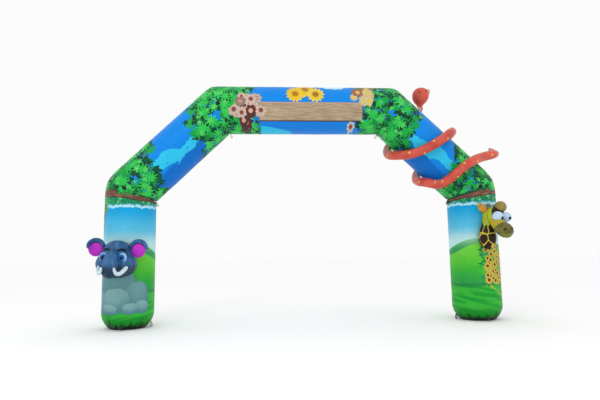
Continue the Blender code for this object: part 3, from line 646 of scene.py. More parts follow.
def ear_shell(name, centre):
    """The ear: a fat rolled rim over the upper half, thinning to a plate below."""
    def outline(share):
        return lambda rise: share * below(rise)

    def rim(share):
        return lambda rise: -EAR_RIM * share * min(1.0, max(0.0, 3.2 * rise)) ** 0.6

    def inner(rise):
        return rim_inner(rise) * below(rise)

    def inner_wide(rise):
        return (rim_inner(rise) + 0.035) * below(rise)

    profile = [(outline(share), lambda rise, back=back: EAR_DEPTH * back)
               for share, back in ((0.25, 1.02), (0.5, 0.99), (0.72, 0.9), (0.86, 0.72),
                                   (0.94, 0.5), (0.985, 0.25), (1.0, 0.02))]
    profile += [(outline(share), rim(depth)) for share, depth in (
        (1.0, 0.25), (0.995, 0.45), (0.975, 0.65), (0.94, 0.85), (0.9, 0.96), (0.85, 1.0),
        (0.8, 0.98))]
    profile += [(inner_wide, rim(0.84)), (inner, rim(0.55)), (inner, rim(0.25)), (inner, rim(0.0))]
    points, along, around = ear_grid(centre, profile)
    turn = open_turn(EAR_SIDES)
    rows = np.arange(len(profile))[:, None]
    ridge = 0.0022 * np.sin(turn * 26 + 2 * np.sin(turn * 3)) * np.exp(-((rows - 7) / 4.0) ** 2)
    points -= (np.clip(ridge, -0.003, 0.003))[..., None] * grid_normals(points)
    edge = np.abs(rows - 6.5) * 0.012 + 0 * turn
    return skin(name, points, along, around, edge,
                (centre + Vector((0, EAR_DEPTH * 1.03, 0)), centre))


def ear_lining(name, centre):
    """The lining: blown up under the rim, and hanging free below it."""
    def outline(share):
        def radius(rise):
            upper = rim_inner(rise) - EAR_SEAM
            lower = 0.8 + 0.18 * rise * rise
            part = min(1.0, max(0.0, (-0.1 - rise) / 0.12))
            return share * (upper + (lower - upper) * part)
        return radius

    profile = [(outline(share), lambda rise, out=out: -GAP - EAR_RIM * out)
               for share, out in ((0.97, 0.0), (0.995, 0.08), (1.0, 0.18), (0.985, 0.28),
                                  (0.95, 0.38), (0.88, 0.49), (0.78, 0.58), (0.64, 0.66),
                                  (0.48, 0.71), (0.3, 0.74), (0.14, 0.75))]
    points, along, around = ear_grid(centre, profile)
    turn = open_turn(EAR_SIDES)
    rows = np.arange(len(profile))[:, None]
    creases = random_creases(int(abs(centre.x) * 1000), 20, 0.006, 0.12, 0.011)
    dip = crease_depth(creases, turn[None, :], 0.012 * rows, EAR_RADIUS) * np.clip(rows / 3, 0, 1)
    points -= dip[..., None] * grid_normals(points)
    edge = 0.012 * rows + 0 * turn
    return skin(name, points, along, around, edge, (None, centre + Vector((0, -EAR_RIM * 0.75, 0))))


def drop(*pieces):
    for piece in pieces:
        bpy.data.objects.remove(piece, do_unlink=True)


def leg_post(side):
    """The leg's round, for cutting what leans on it."""
    turn = open_turn(128)
    heights = np.array([FOOT_ROUND, LOWER_SEAM_Z])
    points = np.zeros((2, 128, 3))
    points[..., 0] = side * LEG_X + (TUBE_RADIUS + 0.003) * np.cos(turn)
    points[..., 1] = (TUBE_RADIUS + 0.003) * np.sin(turn)
    points[..., 2] = heights[:, None]
    plain = np.zeros((2, 129))
    return skin("leg_post", points, plain, plain, np.zeros((2, 128)))


def add_elephant(cloth):
    post = leg_post(-1)
    grown = elephant_skin("head_grown", CLEAR)
    trunk_grown = elephant_limb("trunk_grown", TRUNK, grow=CLEAR)
    head = trimmed(elephant_skin("elephant_head_cloth"), [post])
    finish_piece(head, cloth["blue grey"])
    trunk = elephant_limb("elephant_trunk_cloth", TRUNK, seams=2, pinch=0.005, seed=3,
                          ends=(0.14, 0.1))
    finish_piece(trimmed(trunk, [grown]),
                 cloth["blue grey"])
    for hand, word in ((-1, "left"), (1, "right")):
        centre = on_elephant(EAR_OFFSET.x, -EAR_OFFSET.y, EAR_OFFSET.z, hand)
        ear = trimmed(ear_shell("elephant_ear_%s_cloth" % word, centre), [grown])
        finish_piece(ear, cloth["blue grey"])
        lining = trimmed(ear_lining("elephant_lining_%s_cloth" % word, centre), [grown])
        finish_piece(lining, cloth["magenta"])
        tusk = elephant_limb("elephant_tusk_%s_cloth" % word, TUSK, hand, sides=32, step=0.008,
                             pinch=0.0025, seed=4 + hand, ends=(0.05, 0.0))
        finish_piece(trimmed(tusk, [grown, trunk_grown]), cloth["ivory"])
        brow = elephant_limb("elephant_brow_%s_cloth" % word, BROW, hand, sides=24, step=0.008,
                             pinch=0.0)
        finish_piece(trimmed(brow, [grown, trunk_grown]), cloth["dark"])
        add_elephant_eye(word, hand, [grown, trunk_grown], cloth)
    drop(post, grown, trunk_grown)


def add_elephant_eye(word, hand, cutters, cloth):
    centre = on_elephant(ELEPHANT_EYE.x, -ELEPHANT_EYE.y, ELEPHANT_EYE.z, hand)
    size = ELEPHANT_EYE_SIZE
    eye = ellipsoid("elephant_eye_%s_cloth" % word, centre, size, sides=48, rows=28)
    eye_grown = ellipsoid("eye_grown", centre, size, grow=EYE_CLEAR, sides=48, rows=28)
    look = Vector((-hand * ELEPHANT_SQUINT, -size.y + IRIS_SINK, -ELEPHANT_SQUINT))
    iris_size = Vector((size.x * 0.8, 0.018, size.z * 0.8))
    iris = ellipsoid("elephant_iris_%s_cloth" % word, centre + look, iris_size, sides=40, rows=20)
    iris_grown = ellipsoid("iris_grown", centre + look, iris_size, grow=EYE_CLEAR, sides=40, rows=20)
    pupil_size = Vector((size.x * 0.45, 0.026, size.z * 0.45))
    pupil = ellipsoid("elephant_pupil_%s_cloth" % word, centre + look, pupil_size, sides=36, rows=20)
    finish_piece(trimmed(eye, cutters),
                 cloth["elephant eye"])
    finish_piece(trimmed(iris, cutters + [eye_grown]),
                 cloth["blue"])
    finish_piece(trimmed(pupil, cutters + [eye_grown, iris_grown]), cloth["dark"])
    drop(eye_grown, iris_grown)


# The giraffe

GIRAFFE_SKULL = Vector((3.775, -0.665, 2.1))
GIRAFFE_SKULL_SIZE = Vector((0.205, 0.165, 0.205))
GIRAFFE_TURN = math.radians(20)
NECK = (
    (3.63, -0.6, 1.53, 0.135), (3.628, -0.6, 1.6, 0.163), (3.622, -0.604, 1.69, 0.172),
    (3.628, -0.61, 1.79, 0.16), (3.643, -0.62, 1.88, 0.135), (3.652, -0.63, 1.99, 0.122),
    (3.67, -0.64, 2.13, 0.135))
MUZZLE = (
    (3.71, -0.77, 2.0, 0.105), (3.735, -0.84, 1.93, 0.12), (3.775, -0.92, 1.85, 0.14),
    (3.808, -0.985, 1.796, 0.146), (3.828, -1.03, 1.765, 0.13))
GIRAFFE_EYES = (
    ((3.742, -0.845, 2.075), (0.46, -0.83, -0.32), 0.109),
    ((3.945, -0.79, 2.072), (0.3, -0.9, -0.32), 0.1))
PUPIL_RADIUS = 0.034
PUPIL_DEPTH = 0.016
PUPIL_SINK = 0.006
HORNS = (
    ((3.672, -0.63, 2.25), (3.667, -0.64, 2.345)), ((3.83, -0.58, 2.26), (3.835, -0.57, 2.335)))
HORN_STEM = 0.023
HORN_KNOB = 0.036
NEAR_EAR = (
    (3.64, -0.62, 2.19, 0.04), (3.575, -0.64, 2.235, 0.072), (3.51, -0.655, 2.285, 0.078),
    (3.45, -0.665, 2.34, 0.045))
NEAR_EAR_FLATNESS = 0.5
FAR_EAR = Vector((3.875, -0.725, 2.285))
FAR_EAR_SIZE = Vector((0.13, 0.1, 0.115))


def add_giraffe(cloth):
    turn = Matrix.Rotation(GIRAFFE_TURN, 3, "Z")
    post = leg_post(1)
    skull_grown = ellipsoid("skull_grown", GIRAFFE_SKULL, GIRAFFE_SKULL_SIZE, turn, CLEAR)
    muzzle_grown = limb("muzzle_grown", MUZZLE, grow=CLEAR)
    neck_grown = limb("neck_grown", NECK, grow=CLEAR)
    head = ellipsoid("giraffe_head_cloth", GIRAFFE_SKULL, GIRAFFE_SKULL_SIZE, turn, sides=96,
                     rows=56, gores=6, seed=2, pinch=0.006)
    finish_piece(trimmed(head, [post]),
                 cloth["giraffe head"])
    muzzle = limb("giraffe_muzzle_cloth", MUZZLE, seams=3, pinch=0.006, seed=6, ends=(0.1, 0.05))
    finish_piece(trimmed(muzzle, [skull_grown]),
                 cloth["muzzle"])
    neck = limb("giraffe_neck_cloth", NECK, seams=2, pinch=0.006, seed=8, ends=(0.12, 0.12))
    finish_piece(trimmed(neck, [skull_grown, muzzle_grown, post]),
                 cloth["neck"])
    cutters = [skull_grown, muzzle_grown]
    eye_cutters = []
    for word, (centre, look, radius) in zip(("near", "far"), GIRAFFE_EYES):
        centre = Vector(centre)
        look = Vector(look).normalized()
        facing = look.to_track_quat("Z", "Y").to_matrix()
        size = Vector((radius,) * 3)
        eye = ellipsoid("giraffe_eye_%s_cloth" % word, centre, size, facing, sides=56, rows=36,
                        gores=4, seed=3, pinch=0.0018)
        finish_piece(trimmed(eye, cutters), cloth["eye"])
        eye_grown = ellipsoid("eye_grown_" + word, centre, size, facing, grow=EYE_CLEAR)
        eye_cutters.append(eye_grown)
        pupil = ellipsoid("giraffe_pupil_%s_cloth" % word,
                          centre + look * (radius - PUPIL_SINK),
                          (PUPIL_RADIUS, PUPIL_RADIUS, PUPIL_DEPTH), facing, sides=40, rows=20)
        finish_piece(trimmed(pupil, cutters + [eye_grown]), cloth["dark"])
    cutters = [skull_grown, neck_grown]
    for word, (foot, top) in zip(("near", "far"), HORNS):
        foot = Vector(foot)
        top = Vector(top)
        rows = [tuple(foot.lerp(top, share)) + (radius,) for share, radius in (
            (0, HORN_STEM), (0.5, HORN_STEM), (0.66, HORN_STEM * 1.1), (0.82, HORN_KNOB),
            (1, HORN_KNOB * 0.97))]
        horn = limb("giraffe_horn_%s_cloth" % word, rows, step=0.005, sides=32, pinch=0.0015)
        finish_piece(trimmed(horn, cutters),
                     cloth["horn"])
    near = limb("giraffe_ear_near_cloth", NEAR_EAR, flat=NEAR_EAR_FLATNESS, seams=2, pinch=0.005,
                seed=9, ends=(0.08, 0.05))
    finish_piece(trimmed(near, cutters),
                 cloth["near ear"])
    far = ellipsoid("giraffe_ear_far_cloth", FAR_EAR, FAR_EAR_SIZE, turn, sides=72, rows=44,
                    gores=4, seed=5, pinch=0.005)
    finish_piece(trimmed(far, cutters + [eye_cutters[1]]),
                 cloth["far ear"])
    drop(post, skull_grown, muzzle_grown, neck_grown, *eye_cutters)


# The snake

SNAKE_RADIUS = 0.096
SNAKE_COIL = (                 # degrees round the tube, distance along it, reach from its centre line
    (18, 0.54, 0.7), (48, 0.535, 0.65), (90, 0.565, 0.618), (130, 0.605, 0.618),
    (158, 0.66, 0.625), (178, 0.725, 0.65), (194, 0.79, 0.665), (207, 0.885, 0.66),
    (222, 1.01, 0.635), (240, 1.11, 0.618), (268, 1.217, 0.617), (290, 1.272, 0.617),
    (318, 1.315, 0.62), (347, 1.355, 0.622), (375, 1.395, 0.622), (414, 1.43, 0.618),
    (450, 1.455, 0.618), (486, 1.48, 0.62), (515, 1.52, 0.622), (538, 1.57, 0.64),
    (554, 1.63, 0.66), (564, 1.73, 0.66), (571, 1.83, 0.645), (582, 1.9, 0.628),
    (600, 1.928, 0.618), (634, 1.97, 0.616), (656, 2.03, 0.625), (682, 2.14, 0.665),
    (700, 2.29, 0.83), (713, 2.37, 0.94), (722, 2.385, 1.02), (727, 2.33, 1.075),
    (729, 2.26, 1.075))
SNAKE_SEAM_TURN = 622
SNAKE_NECK_RADIUS = 0.05
SNAKE_TAIL_RADIUS = 0.03
SNAKE_HEAD_X = 2.683
SNAKE_HEAD_Y = 0.25
SNAKE_HEAD = (
    (4.655, 0.05), (4.71, 0.078), (4.75, 0.115), (4.795, 0.15), (4.85, 0.175), (4.92, 0.187),
    (4.985, 0.18), (5.04, 0.152), (5.085, 0.1), (5.11, 0.02))
SNAKE_HEAD_TOP = 5.112
SNAKE_HEAD_DEPTH = 0.88
SNAKE_NECK_LEAN = -0.04
SNAKE_EYES = ((2.815, 0.19, 5.0), (2.77, 0.36, 5.02))
SNAKE_EYE_RADIUS = 0.062
SNAKE_SIDES = 40
SNAKE_STEP = 0.014


def snake_head_centre(height):
    share = (SNAKE_HEAD_TOP - height) / (SNAKE_HEAD_TOP - SNAKE_HEAD[0][0])
    return Vector((SNAKE_HEAD_X + SNAKE_NECK_LEAN * share ** 2, SNAKE_HEAD_Y, height))


def snake_table():
    """The snake's centre line: turn, place and radius of each row, from the head down."""
    _, _, upper, _ = centre_line()
    start = Vector((-upper.x, 0, upper.z))
    along = (Vector((LEG_X, 0, LOWER_SEAM_Z)) - start).normalized()
    outer = Vector((-along.z, 0, along.x))
    rows = [(0.0,) + tuple(snake_head_centre(SNAKE_HEAD[0][0] - GAP)) + (SNAKE_NECK_RADIUS,)]
    last = SNAKE_COIL[-1][0]
    for turn, distance, reach in SNAKE_COIL:
        angle = math.radians(turn)
        place = (start + along * distance + outer * (reach * math.cos(angle))
                 + BACK * (reach * math.sin(angle)))
        widen = min(1.0, (turn - SNAKE_COIL[0][0]) / 60)
        radius = SNAKE_NECK_RADIUS + (SNAKE_RADIUS - SNAKE_NECK_RADIUS) * widen
        taper = min(1.0, (last - turn) / 30) ** 0.5
        radius = SNAKE_TAIL_RADIUS + (radius - SNAKE_TAIL_RADIUS) * taper
        rows.append((float(turn),) + tuple(place) + (radius,))
    return rows


def snake_length(name, rows, run, start, stop, ends, seed):
    """A sewn length of the snake between two rows, with folds on the inside of its bends."""
    place = rows[start:stop + 1, :3]
    radius = rows[start:stop + 1, 3]
    run = run[start:stop + 1]
    tangent = np.gradient(rows[:, :3], axis=0)
    tangent /= np.linalg.norm(tangent, axis=1, keepdims=True)
    bend = np.gradient(tangent, axis=0) / np.abs(np.gradient(rows[:, :3], axis=0)).sum(1)[:, None]
    tangent = tangent[start:stop + 1].copy()
    bend = bend[start:stop + 1]
    if start == 0:
        tangent[0] = (0, 0, -1)
    angle = open_turn(SNAKE_SIDES)
    across = np.array([0.0, 1.0, 0.0])
    points = np.zeros((len(place), SNAKE_SIDES, 3))
    inner = np.zeros(points.shape[:2])
    side = np.zeros(points.shape[:2])
    _, _, upper, _ = centre_line()
    foot = np.array((-upper.x, 0, upper.z))
    axis = np.array((LEG_X, 0, LOWER_SEAM_Z)) - foot
    axis /= np.linalg.norm(axis)
    for i in range(len(place)):
        across = across - tangent[i] * np.dot(across, tangent[i])
        across /= np.linalg.norm(across)
        up = np.cross(tangent[i], across)
        spoke = np.outer(np.cos(angle), across) + np.outer(np.sin(angle), up)
        points[i] = place[i] + radius[i] * spoke
        inner[i] = spoke @ bend[i]
        away = place[i] - foot
        away -= axis * (away @ axis)
        away -= tangent[i] * (away @ tangent[i])
        away /= np.linalg.norm(away)
        side[i] = np.arctan2(spoke @ np.cross(tangent[i], away), spoke @ away)
    length = run[-1] - run[0]
    here = run - run[0]
    tight = np.clip(inner * 0.35 - 0.35, 0, 1)
    folds = 0.012 * tight * (0.5 + 0.5 * np.sin(run[:, None] * 118 + 2.2 * np.sin(run[:, None] * 9)))
    dip = folds + 0.002 * np.sin(run[:, None] * 60 + angle * 2) * np.clip(inner * 0.2, 0, 1)
    for is_seam, distance in zip(ends, (here, length - here)):
        if is_seam:
            dip = dip + 0.008 * np.exp(-(distance[:, None] / 0.012) ** 2)
            dip = dip + crease_depth(random_creases(seed, 16, 0.006, 0.1, 0.01), angle,
                                     distance[:, None], SNAKE_RADIUS)
    points -= dip[..., None] * (points - place[:, None]) / radius[:, None, None]
    along = np.broadcast_to(run[:, None], (len(place), SNAKE_SIDES + 1))
    around = np.broadcast_to(closed_turn(SNAKE_SIDES) * SNAKE_RADIUS,
                             along.shape)
    edge = np.minimum(here, length - here)[:, None] + 0 * angle
    tip = None if ends[1] else Vector(place[-1] + tangent[-1] * radius[-1] * 0.5)
    piece = skin(name, points, along, around, edge, (None, tip))
    add_measure(piece, "side", side)
    add_measure(piece, "fold", tight)
    return piece


def add_measure(piece, name, values):
    """Keep one number for each point of a skin. The tip repeats the last."""
    numbers = list(values.reshape(-1))
    numbers += [numbers[-1]] * (len(piece.data.vertices) - len(numbers))
    layer = piece.data.attributes.new(name, "FLOAT", "POINT")
    layer.data.foreach_set("value", numbers)


def add_snake(cloth):
    table = snake_table()
    rows, run = even_rows([row[1:] + row[:1] for row in table], SNAKE_STEP)
    cut = int(np.argmin(np.abs(rows[:, 4] - SNAKE_SEAM_TURN)))
    body = snake_length("snake_body_cloth", rows, run, 0, cut, (True, True), 1)
    finish_piece(body, cloth["snake"])
    tail = snake_length("snake_tail_cloth", rows, run, cut, len(rows) - 1, (True, False), 2)
    tangent = rows[cut + 1, :3] - rows[cut, :3]
    tail.data.transform(Matrix.Translation(Vector(tangent).normalized() * GAP))
    finish_piece(tail, cloth["snake"])
    grown = snake_head("snake_head_grown", CLEAR)
    finish_piece(snake_head("snake_head_cloth"), cloth["snake head"])
    for word, centre in zip(("front", "back"), SNAKE_EYES):
        eye = ellipsoid("snake_eye_%s_cloth" % word, Vector(centre), (SNAKE_EYE_RADIUS,) * 3,
                        sides=48, rows=28)
        finish_piece(trimmed(eye, [grown]),
                     cloth["cream"])
    drop(grown)


def snake_head(name, grow=0.0):
    shares = np.linspace(0, len(SNAKE_HEAD) - 1.2, 48)
    table = np.array([catmull(SNAKE_HEAD, share) for share in shares])
    sides = 72
    angle = open_turn(sides)
    centres = np.array([snake_head_centre(height) for height in table[:, 0]])
    half = table[:, 1:] + grow
    points = centres[:, None, :] + np.stack(
        (half * np.cos(angle), half * SNAKE_HEAD_DEPTH * np.sin(angle) + grow * (
            1 - SNAKE_HEAD_DEPTH) * np.sin(angle), 0 * half * angle), axis=2)
    gap = np.abs((angle + math.pi / 2) % math.pi - math.pi / 2) * half
    if not grow:
        dip = 0.005 * np.exp(-(gap / 0.011) ** 2)
        dip += 0.0016 * np.exp(-(gap / 0.04) ** 2) * np.sin(table[:, :1] * 170)
        foot = np.clip(1 - (table[:, :1] - table[0, 0]) / 0.12, 0, 1)
        dip += 0.004 * foot * (0.5 + 0.5 * np.sin(angle * 11))
        points -= dip[..., None] * grid_normals(points)
    along = np.broadcast_to(table[:, :1], (48, sides + 1))
    around = np.broadcast_to(closed_turn(sides) * 0.17, along.shape)
    return skin(name, points, along, around, gap + 0 * angle,
                (None, snake_head_centre(SNAKE_HEAD_TOP + grow)))


# Shader tools

WHOLE_TURN = 6.283


def paint(code):
    """A colour's linear values from its six-figure code."""
    parts = [int(code[i:i + 2], 16) / 255 for i in (0, 2, 4)]
    return tuple(((part + 0.055) / 1.055) ** 2.4 if part > 0.04045 else part / 12.92
                 for part in parts) + (1.0,)


class Shading:
    """Adds nodes to one material or group, and joins them up."""

    def __init__(self, tree):
        self.tree = tree

    def node(self, kind, **settings):
        made = self.tree.nodes.new(kind)
        for word, value in settings.items():
            setattr(made, word, value)
        return made

    def feed(self, socket, value):
        """Join a socket to another, or set its value. A string is a colour's code."""
        if isinstance(value, str):
            value = paint(value)
        if isinstance(value, bpy.types.NodeSocket):
            self.tree.links.new(value, socket)
        else:
            socket.default_value = value

    def maths(self, operation, *values):
        made = self.node("ShaderNodeMath", operation=operation)
        for socket, value in zip(made.inputs, values):
            self.feed(socket, value)
        return made.outputs[0]

    def total(self, *values):
        result = values[0]
        for value in values[1:]:
            result = self.maths("ADD", result, value)
        return result

    def product(self, *values):
        result = values[0]
        for value in values[1:]:
            result = self.maths("MULTIPLY", result, value)
        return result

    def either(self, *values):
        result = values[0]
        for value in values[1:]:
            result = self.maths("MAXIMUM", result, value)
        return result

    def unsigned(self, value):
        return self.maths("ABSOLUTE", value)

    def sine(self, value):
        return self.maths("SINE", value)

    def cosine(self, value):
        return self.maths("COSINE", value)

    def divide(self, value, other):
        return self.maths("DIVIDE", value, other)

    def power(self, value, other):
        return self.maths("POWER", value, other)

    def above(self, value, other):
        return self.maths("GREATER_THAN", value, other)

    def under(self, value, other):
        return self.maths("LESS_THAN", value, other)

    def less(self, value, other):
        return self.maths("SUBTRACT", value, other)

    def inverse(self, value):
        return self.maths("SUBTRACT", 1.0, value)

    def ramp(self, value, low, high):
        """0 at low to 1 at high, smoothly, and level beyond them."""
        made = self.node("ShaderNodeMapRange", interpolation_type="SMOOTHSTEP")
        for word, given in (("Value", value), ("From Min", low), ("From Max", high)):
            self.feed(made.inputs[word], given)
        return made.outputs["Result"]

    def band(self, value, low, high, soft):
        """1 between two values, with soft edges."""
        return self.product(self.ramp(value, low - soft, low + soft),
                            self.ramp(value, high + soft, high - soft))

    def vector(self, operation, *values):
        made = self.node("ShaderNodeVectorMath", operation=operation)
        for socket, value in zip(made.inputs, values):
            self.feed(socket, value)
        return made.outputs["Value" if operation in ("LENGTH", "DOT_PRODUCT", "DISTANCE") else 0]

    def split(self, value):
        made = self.node("ShaderNodeSeparateXYZ")
        self.feed(made.inputs[0], value)
        return made.outputs

    def join(self, x, y, z=0.0):
        made = self.node("ShaderNodeCombineXYZ")
        for socket, value in zip(made.inputs, (x, y, z)):
            self.feed(socket, value)
        return made.outputs[0]

    def mix(self, share, one, two):
        made = self.node("ShaderNodeMix", data_type="RGBA")
        for socket, value in ((made.inputs[0], share), (made.inputs[6], one), (made.inputs[7], two)):
            self.feed(socket, value)
        return made.outputs[2]

    def noise(self, where, scale, detail=2.0, rough=0.5):
        made = self.node("ShaderNodeTexNoise")
        for word, value in (("Vector", where), ("Scale", scale), ("Detail", detail),
                            ("Roughness", rough)):
            self.feed(made.inputs[word], value)
        return made.outputs[0]

    def wander(self, *where):
        """Noise that goes as far below 0 as above it."""
        return self.less(self.noise(*where), 0.5)

    def group(self, tree, **values):
        made = self.node("ShaderNodeGroup", node_tree=tree)
        for word, value in values.items():
            self.feed(made.inputs[word.replace("_", " ")], value)
        return made.outputs

    def layers(self, colour, *coats):
        """Lay coats of share and colour over a ground colour, one after the other."""
        for share, coat in coats:
            colour = self.mix(share, colour, coat)
        return colour


def new_group(name, inputs, outputs):
    """An empty shader group with these sockets, its tools, its inputs and its outputs."""
    tree = bpy.data.node_groups.new(name, "ShaderNodeTree")
    kinds = {"vector": "NodeSocketVector", "colour": "NodeSocketColor", "number": "NodeSocketFloat"}
    for word, kind, value in inputs:
        socket = tree.interface.new_socket(name=word, in_out="INPUT", socket_type=kinds[kind])
        if value is not None:
            socket.default_value = value
    for word, kind in outputs:
        tree.interface.new_socket(name=word, in_out="OUTPUT", socket_type=kinds[kind])
    tools = Shading(tree)
    return (tree, tools, tools.node("NodeGroupInput").outputs,
            tools.node("NodeGroupOutput").inputs)


def cloth_group():
    """The cloth itself: its weave, its slow unevenness, the small puckers of filled cloth and painted shade
    in its creases.
    """
    tree, s, given, gives = new_group(
        "coated cloth", [("Cut", "vector", None), ("Place", "vector", None),
                         ("Weave", "number", 0.0022), ("Folds", "number", 0.003), ("Creases", "number", 0.0)],
        [("Height", "number"), ("Tone", "number"), ("Gloss", "number")])
    cut = s.split(given["Cut"])
    threads = s.product(s.sine(s.divide(s.product(cut[0], WHOLE_TURN), given["Weave"])),
                        s.sine(s.divide(s.product(cut[1], WHOLE_TURN), given["Weave"])))
    slow = s.noise(given["Place"], 2.3, 3.0)
    fine = s.noise(given["Place"], 11.0, 4.0, 0.6)
    grain = s.noise(given["Place"], 160.0, 2.0)
    fold = s.unsigned(s.wander(given["Place"], 5.5, 2.0, 0.45))
    crease = s.product(s.ramp(fold, 0.035, 0.0), s.ramp(slow, 0.42, 0.6))
    height = s.total(s.product(crease, given["Creases"], -1.0),
                     s.product(s.less(slow, 0.5), given["Folds"]),
                     s.product(s.less(fine, 0.5), given["Folds"], 0.4), s.product(threads, 0.00006))
    s.feed(gives["Height"], height)
    # Tone: uneven at random, and painted shade darkens it along the creases
    s.feed(gives["Tone"], s.total(s.product(s.less(slow, 0.5), 0.6), s.product(s.less(fine, 0.5), 0.5),
                                  s.product(s.less(grain, 0.5), 0.25),
                                  s.product(crease, given["Creases"], -40.0), 0.5))
    s.feed(gives["Gloss"], s.total(0.46, s.product(s.less(fine, 0.5), 0.18), s.product(threads, 0.02)))
    return tree


def sewing_group():
    """A sewn edge: painted shade along the seam's groove, its stitches and the small gathers beside it."""
    tree, s, given, gives = new_group(
        "sewn edge", [("Edge", "number", None), ("Round", "number", None)],
        [("Line", "number"), ("Thread", "number"), ("Height", "number")])
    edge = given["Edge"]
    # line marks the seam's groove: it lowers the height here, and finish paints shade into it
    line = s.ramp(edge, 0.006, 0.0)
    dash = s.ramp(s.sine(s.product(given["Round"], 785.0)), -0.1, 0.25)
    row = s.band(edge, 0.0085, 0.0105, 0.0007)
    gathers = s.product(s.sine(s.product(given["Round"], 300.0)), s.ramp(edge, 0.035, 0.002))
    s.feed(gives["Line"], line)
    s.feed(gives["Thread"], s.product(dash, row))
    s.feed(gives["Height"], s.total(s.product(line, -0.002), s.product(gathers, 0.0006),
                                    s.product(row, dash, 0.0004)))
    return tree


def leaf_group():
    """One layer of printed leaves: in each cell of a loose grid a leaf of one or more lobes."""
    tree, s, given, gives = new_group(
        "printed leaves", [("Cut", "vector", None), ("Cells", "number", 5.0),
                           ("Reach", "number", 0.1),
                           ("Lobes", "number", 5.0), ("Waist", "number", 0.35), ("Seed", "number", 0.0)],
        [("Leaf", "number"), ("Rim", "number"), ("Rib", "number"), ("Tone", "number"),
         ("Chance", "number"), ("Centre", "vector")])
    moved = s.vector("ADD", given["Cut"], s.join(given["Seed"], s.product(given["Seed"], 1.7)))
    cells = s.node("ShaderNodeTexVoronoi", voronoi_dimensions="2D", feature="F1")
    s.feed(cells.inputs["Vector"], moved)
    s.feed(cells.inputs["Scale"], given["Cells"])
    s.feed(cells.inputs["Randomness"], 0.85)
    dice = s.split(cells.outputs["Color"])
    away = s.vector("SUBTRACT", moved, cells.outputs["Position"])
    parts = s.split(away)
    turn = s.total(s.maths("ARCTAN2", parts[1], parts[0]), s.product(dice[0], WHOLE_TURN))
    half = s.product(turn, given["Lobes"], 0.5)
    lobe = s.power(s.inverse(s.unsigned(s.sine(half))), 0.8)
    reach = s.product(given["Reach"], s.total(0.75, s.product(dice[1], 0.4)),
                      s.total(given["Waist"], s.product(lobe, s.inverse(given["Waist"]))))
    far = s.vector("LENGTH", s.join(parts[0], parts[1]))
    inside = s.less(reach, far)
    s.feed(gives["Leaf"], s.ramp(inside, -0.0008, 0.0012))
    s.feed(gives["Rim"], s.ramp(inside, 0.011, 0.004))
    s.feed(gives["Rib"], s.ramp(s.product(s.unsigned(s.sine(half)), far), 0.0035,
                                0.0012))
    s.feed(gives["Tone"], dice[2])
    s.feed(gives["Chance"], s.maths("FRACT", s.product(s.total(dice[0], dice[1]), 7.3)))
    s.feed(gives["Centre"], s.vector("SUBTRACT", cells.outputs["Position"], s.join(
        given["Seed"], s.product(given["Seed"], 1.7))))
    return tree


def flower_group():
    """A printed flower round one place: petals, the lines between them and a round heart."""
    tree, s, given, gives = new_group(
        "printed flower", [("Plane", "vector", None), ("Middle", "vector", None),
                           ("Size", "number", 0.2), ("Petals", "number", 12.0),
                           ("Heart Size", "number", 0.35)],
        [("Petal", "number"), ("Line", "number"), ("Heart", "number"), ("Reach", "number")])
    parts = s.split(s.vector("SUBTRACT", given["Plane"], given["Middle"]))
    turn = s.maths("ARCTAN2", parts[1], parts[0])
    far = s.divide(s.vector("LENGTH", s.join(parts[0], parts[1])), given["Size"])
    wave = s.unsigned(s.cosine(s.product(turn, given["Petals"], 0.5)))
    reach = s.total(0.66, s.product(s.power(wave, 0.7), 0.34))
    s.feed(gives["Petal"], s.ramp(s.less(reach, far), -0.01, 0.015))
    s.feed(gives["Line"], s.either(s.ramp(wave, 0.16, 0.04), s.ramp(s.less(reach, far), 0.06, 0.02)))
    s.feed(gives["Heart"], s.ramp(s.less(given["Heart Size"], far), -0.01, 0.02))
    s.feed(gives["Reach"], far)
    return tree


def grass_group():
    """The dark outline of grass at the foot of the print."""
    tree, s, given, gives = new_group(
        "printed grass", [("Cut", "vector", None), ("Foot", "number", 0.06), ("Height", "number", 0.1),
                          ("Blade", "number", 0.02)], [("Grass", "number")])
    parts = s.split(given["Cut"])
    lean = s.total(parts[1], s.product(parts[0], 0.25))
    blades = s.node("ShaderNodeTexVoronoi", voronoi_dimensions="1D", feature="F1")
    s.feed(blades.inputs["W"], s.divide(lean, given["Blade"]))
    s.feed(blades.inputs["Scale"], 1.0)
    dice = s.split(blades.outputs["Color"])
    tuft = s.ramp(s.noise(s.join(parts[1], 0.0), 6.0, 1.0), 0.42, 0.6)
    tall = s.product(given["Height"], s.total(0.3, s.product(dice[0], 0.7)), s.total(0.22, tuft))
    blade = s.less(1.0, s.product(blades.outputs["Distance"], 2.4))
    s.feed(gives["Grass"], s.ramp(s.less(s.total(given["Foot"], s.product(tall, blade)), parts[0]),
                                  -0.002, 0.004))
    return tree


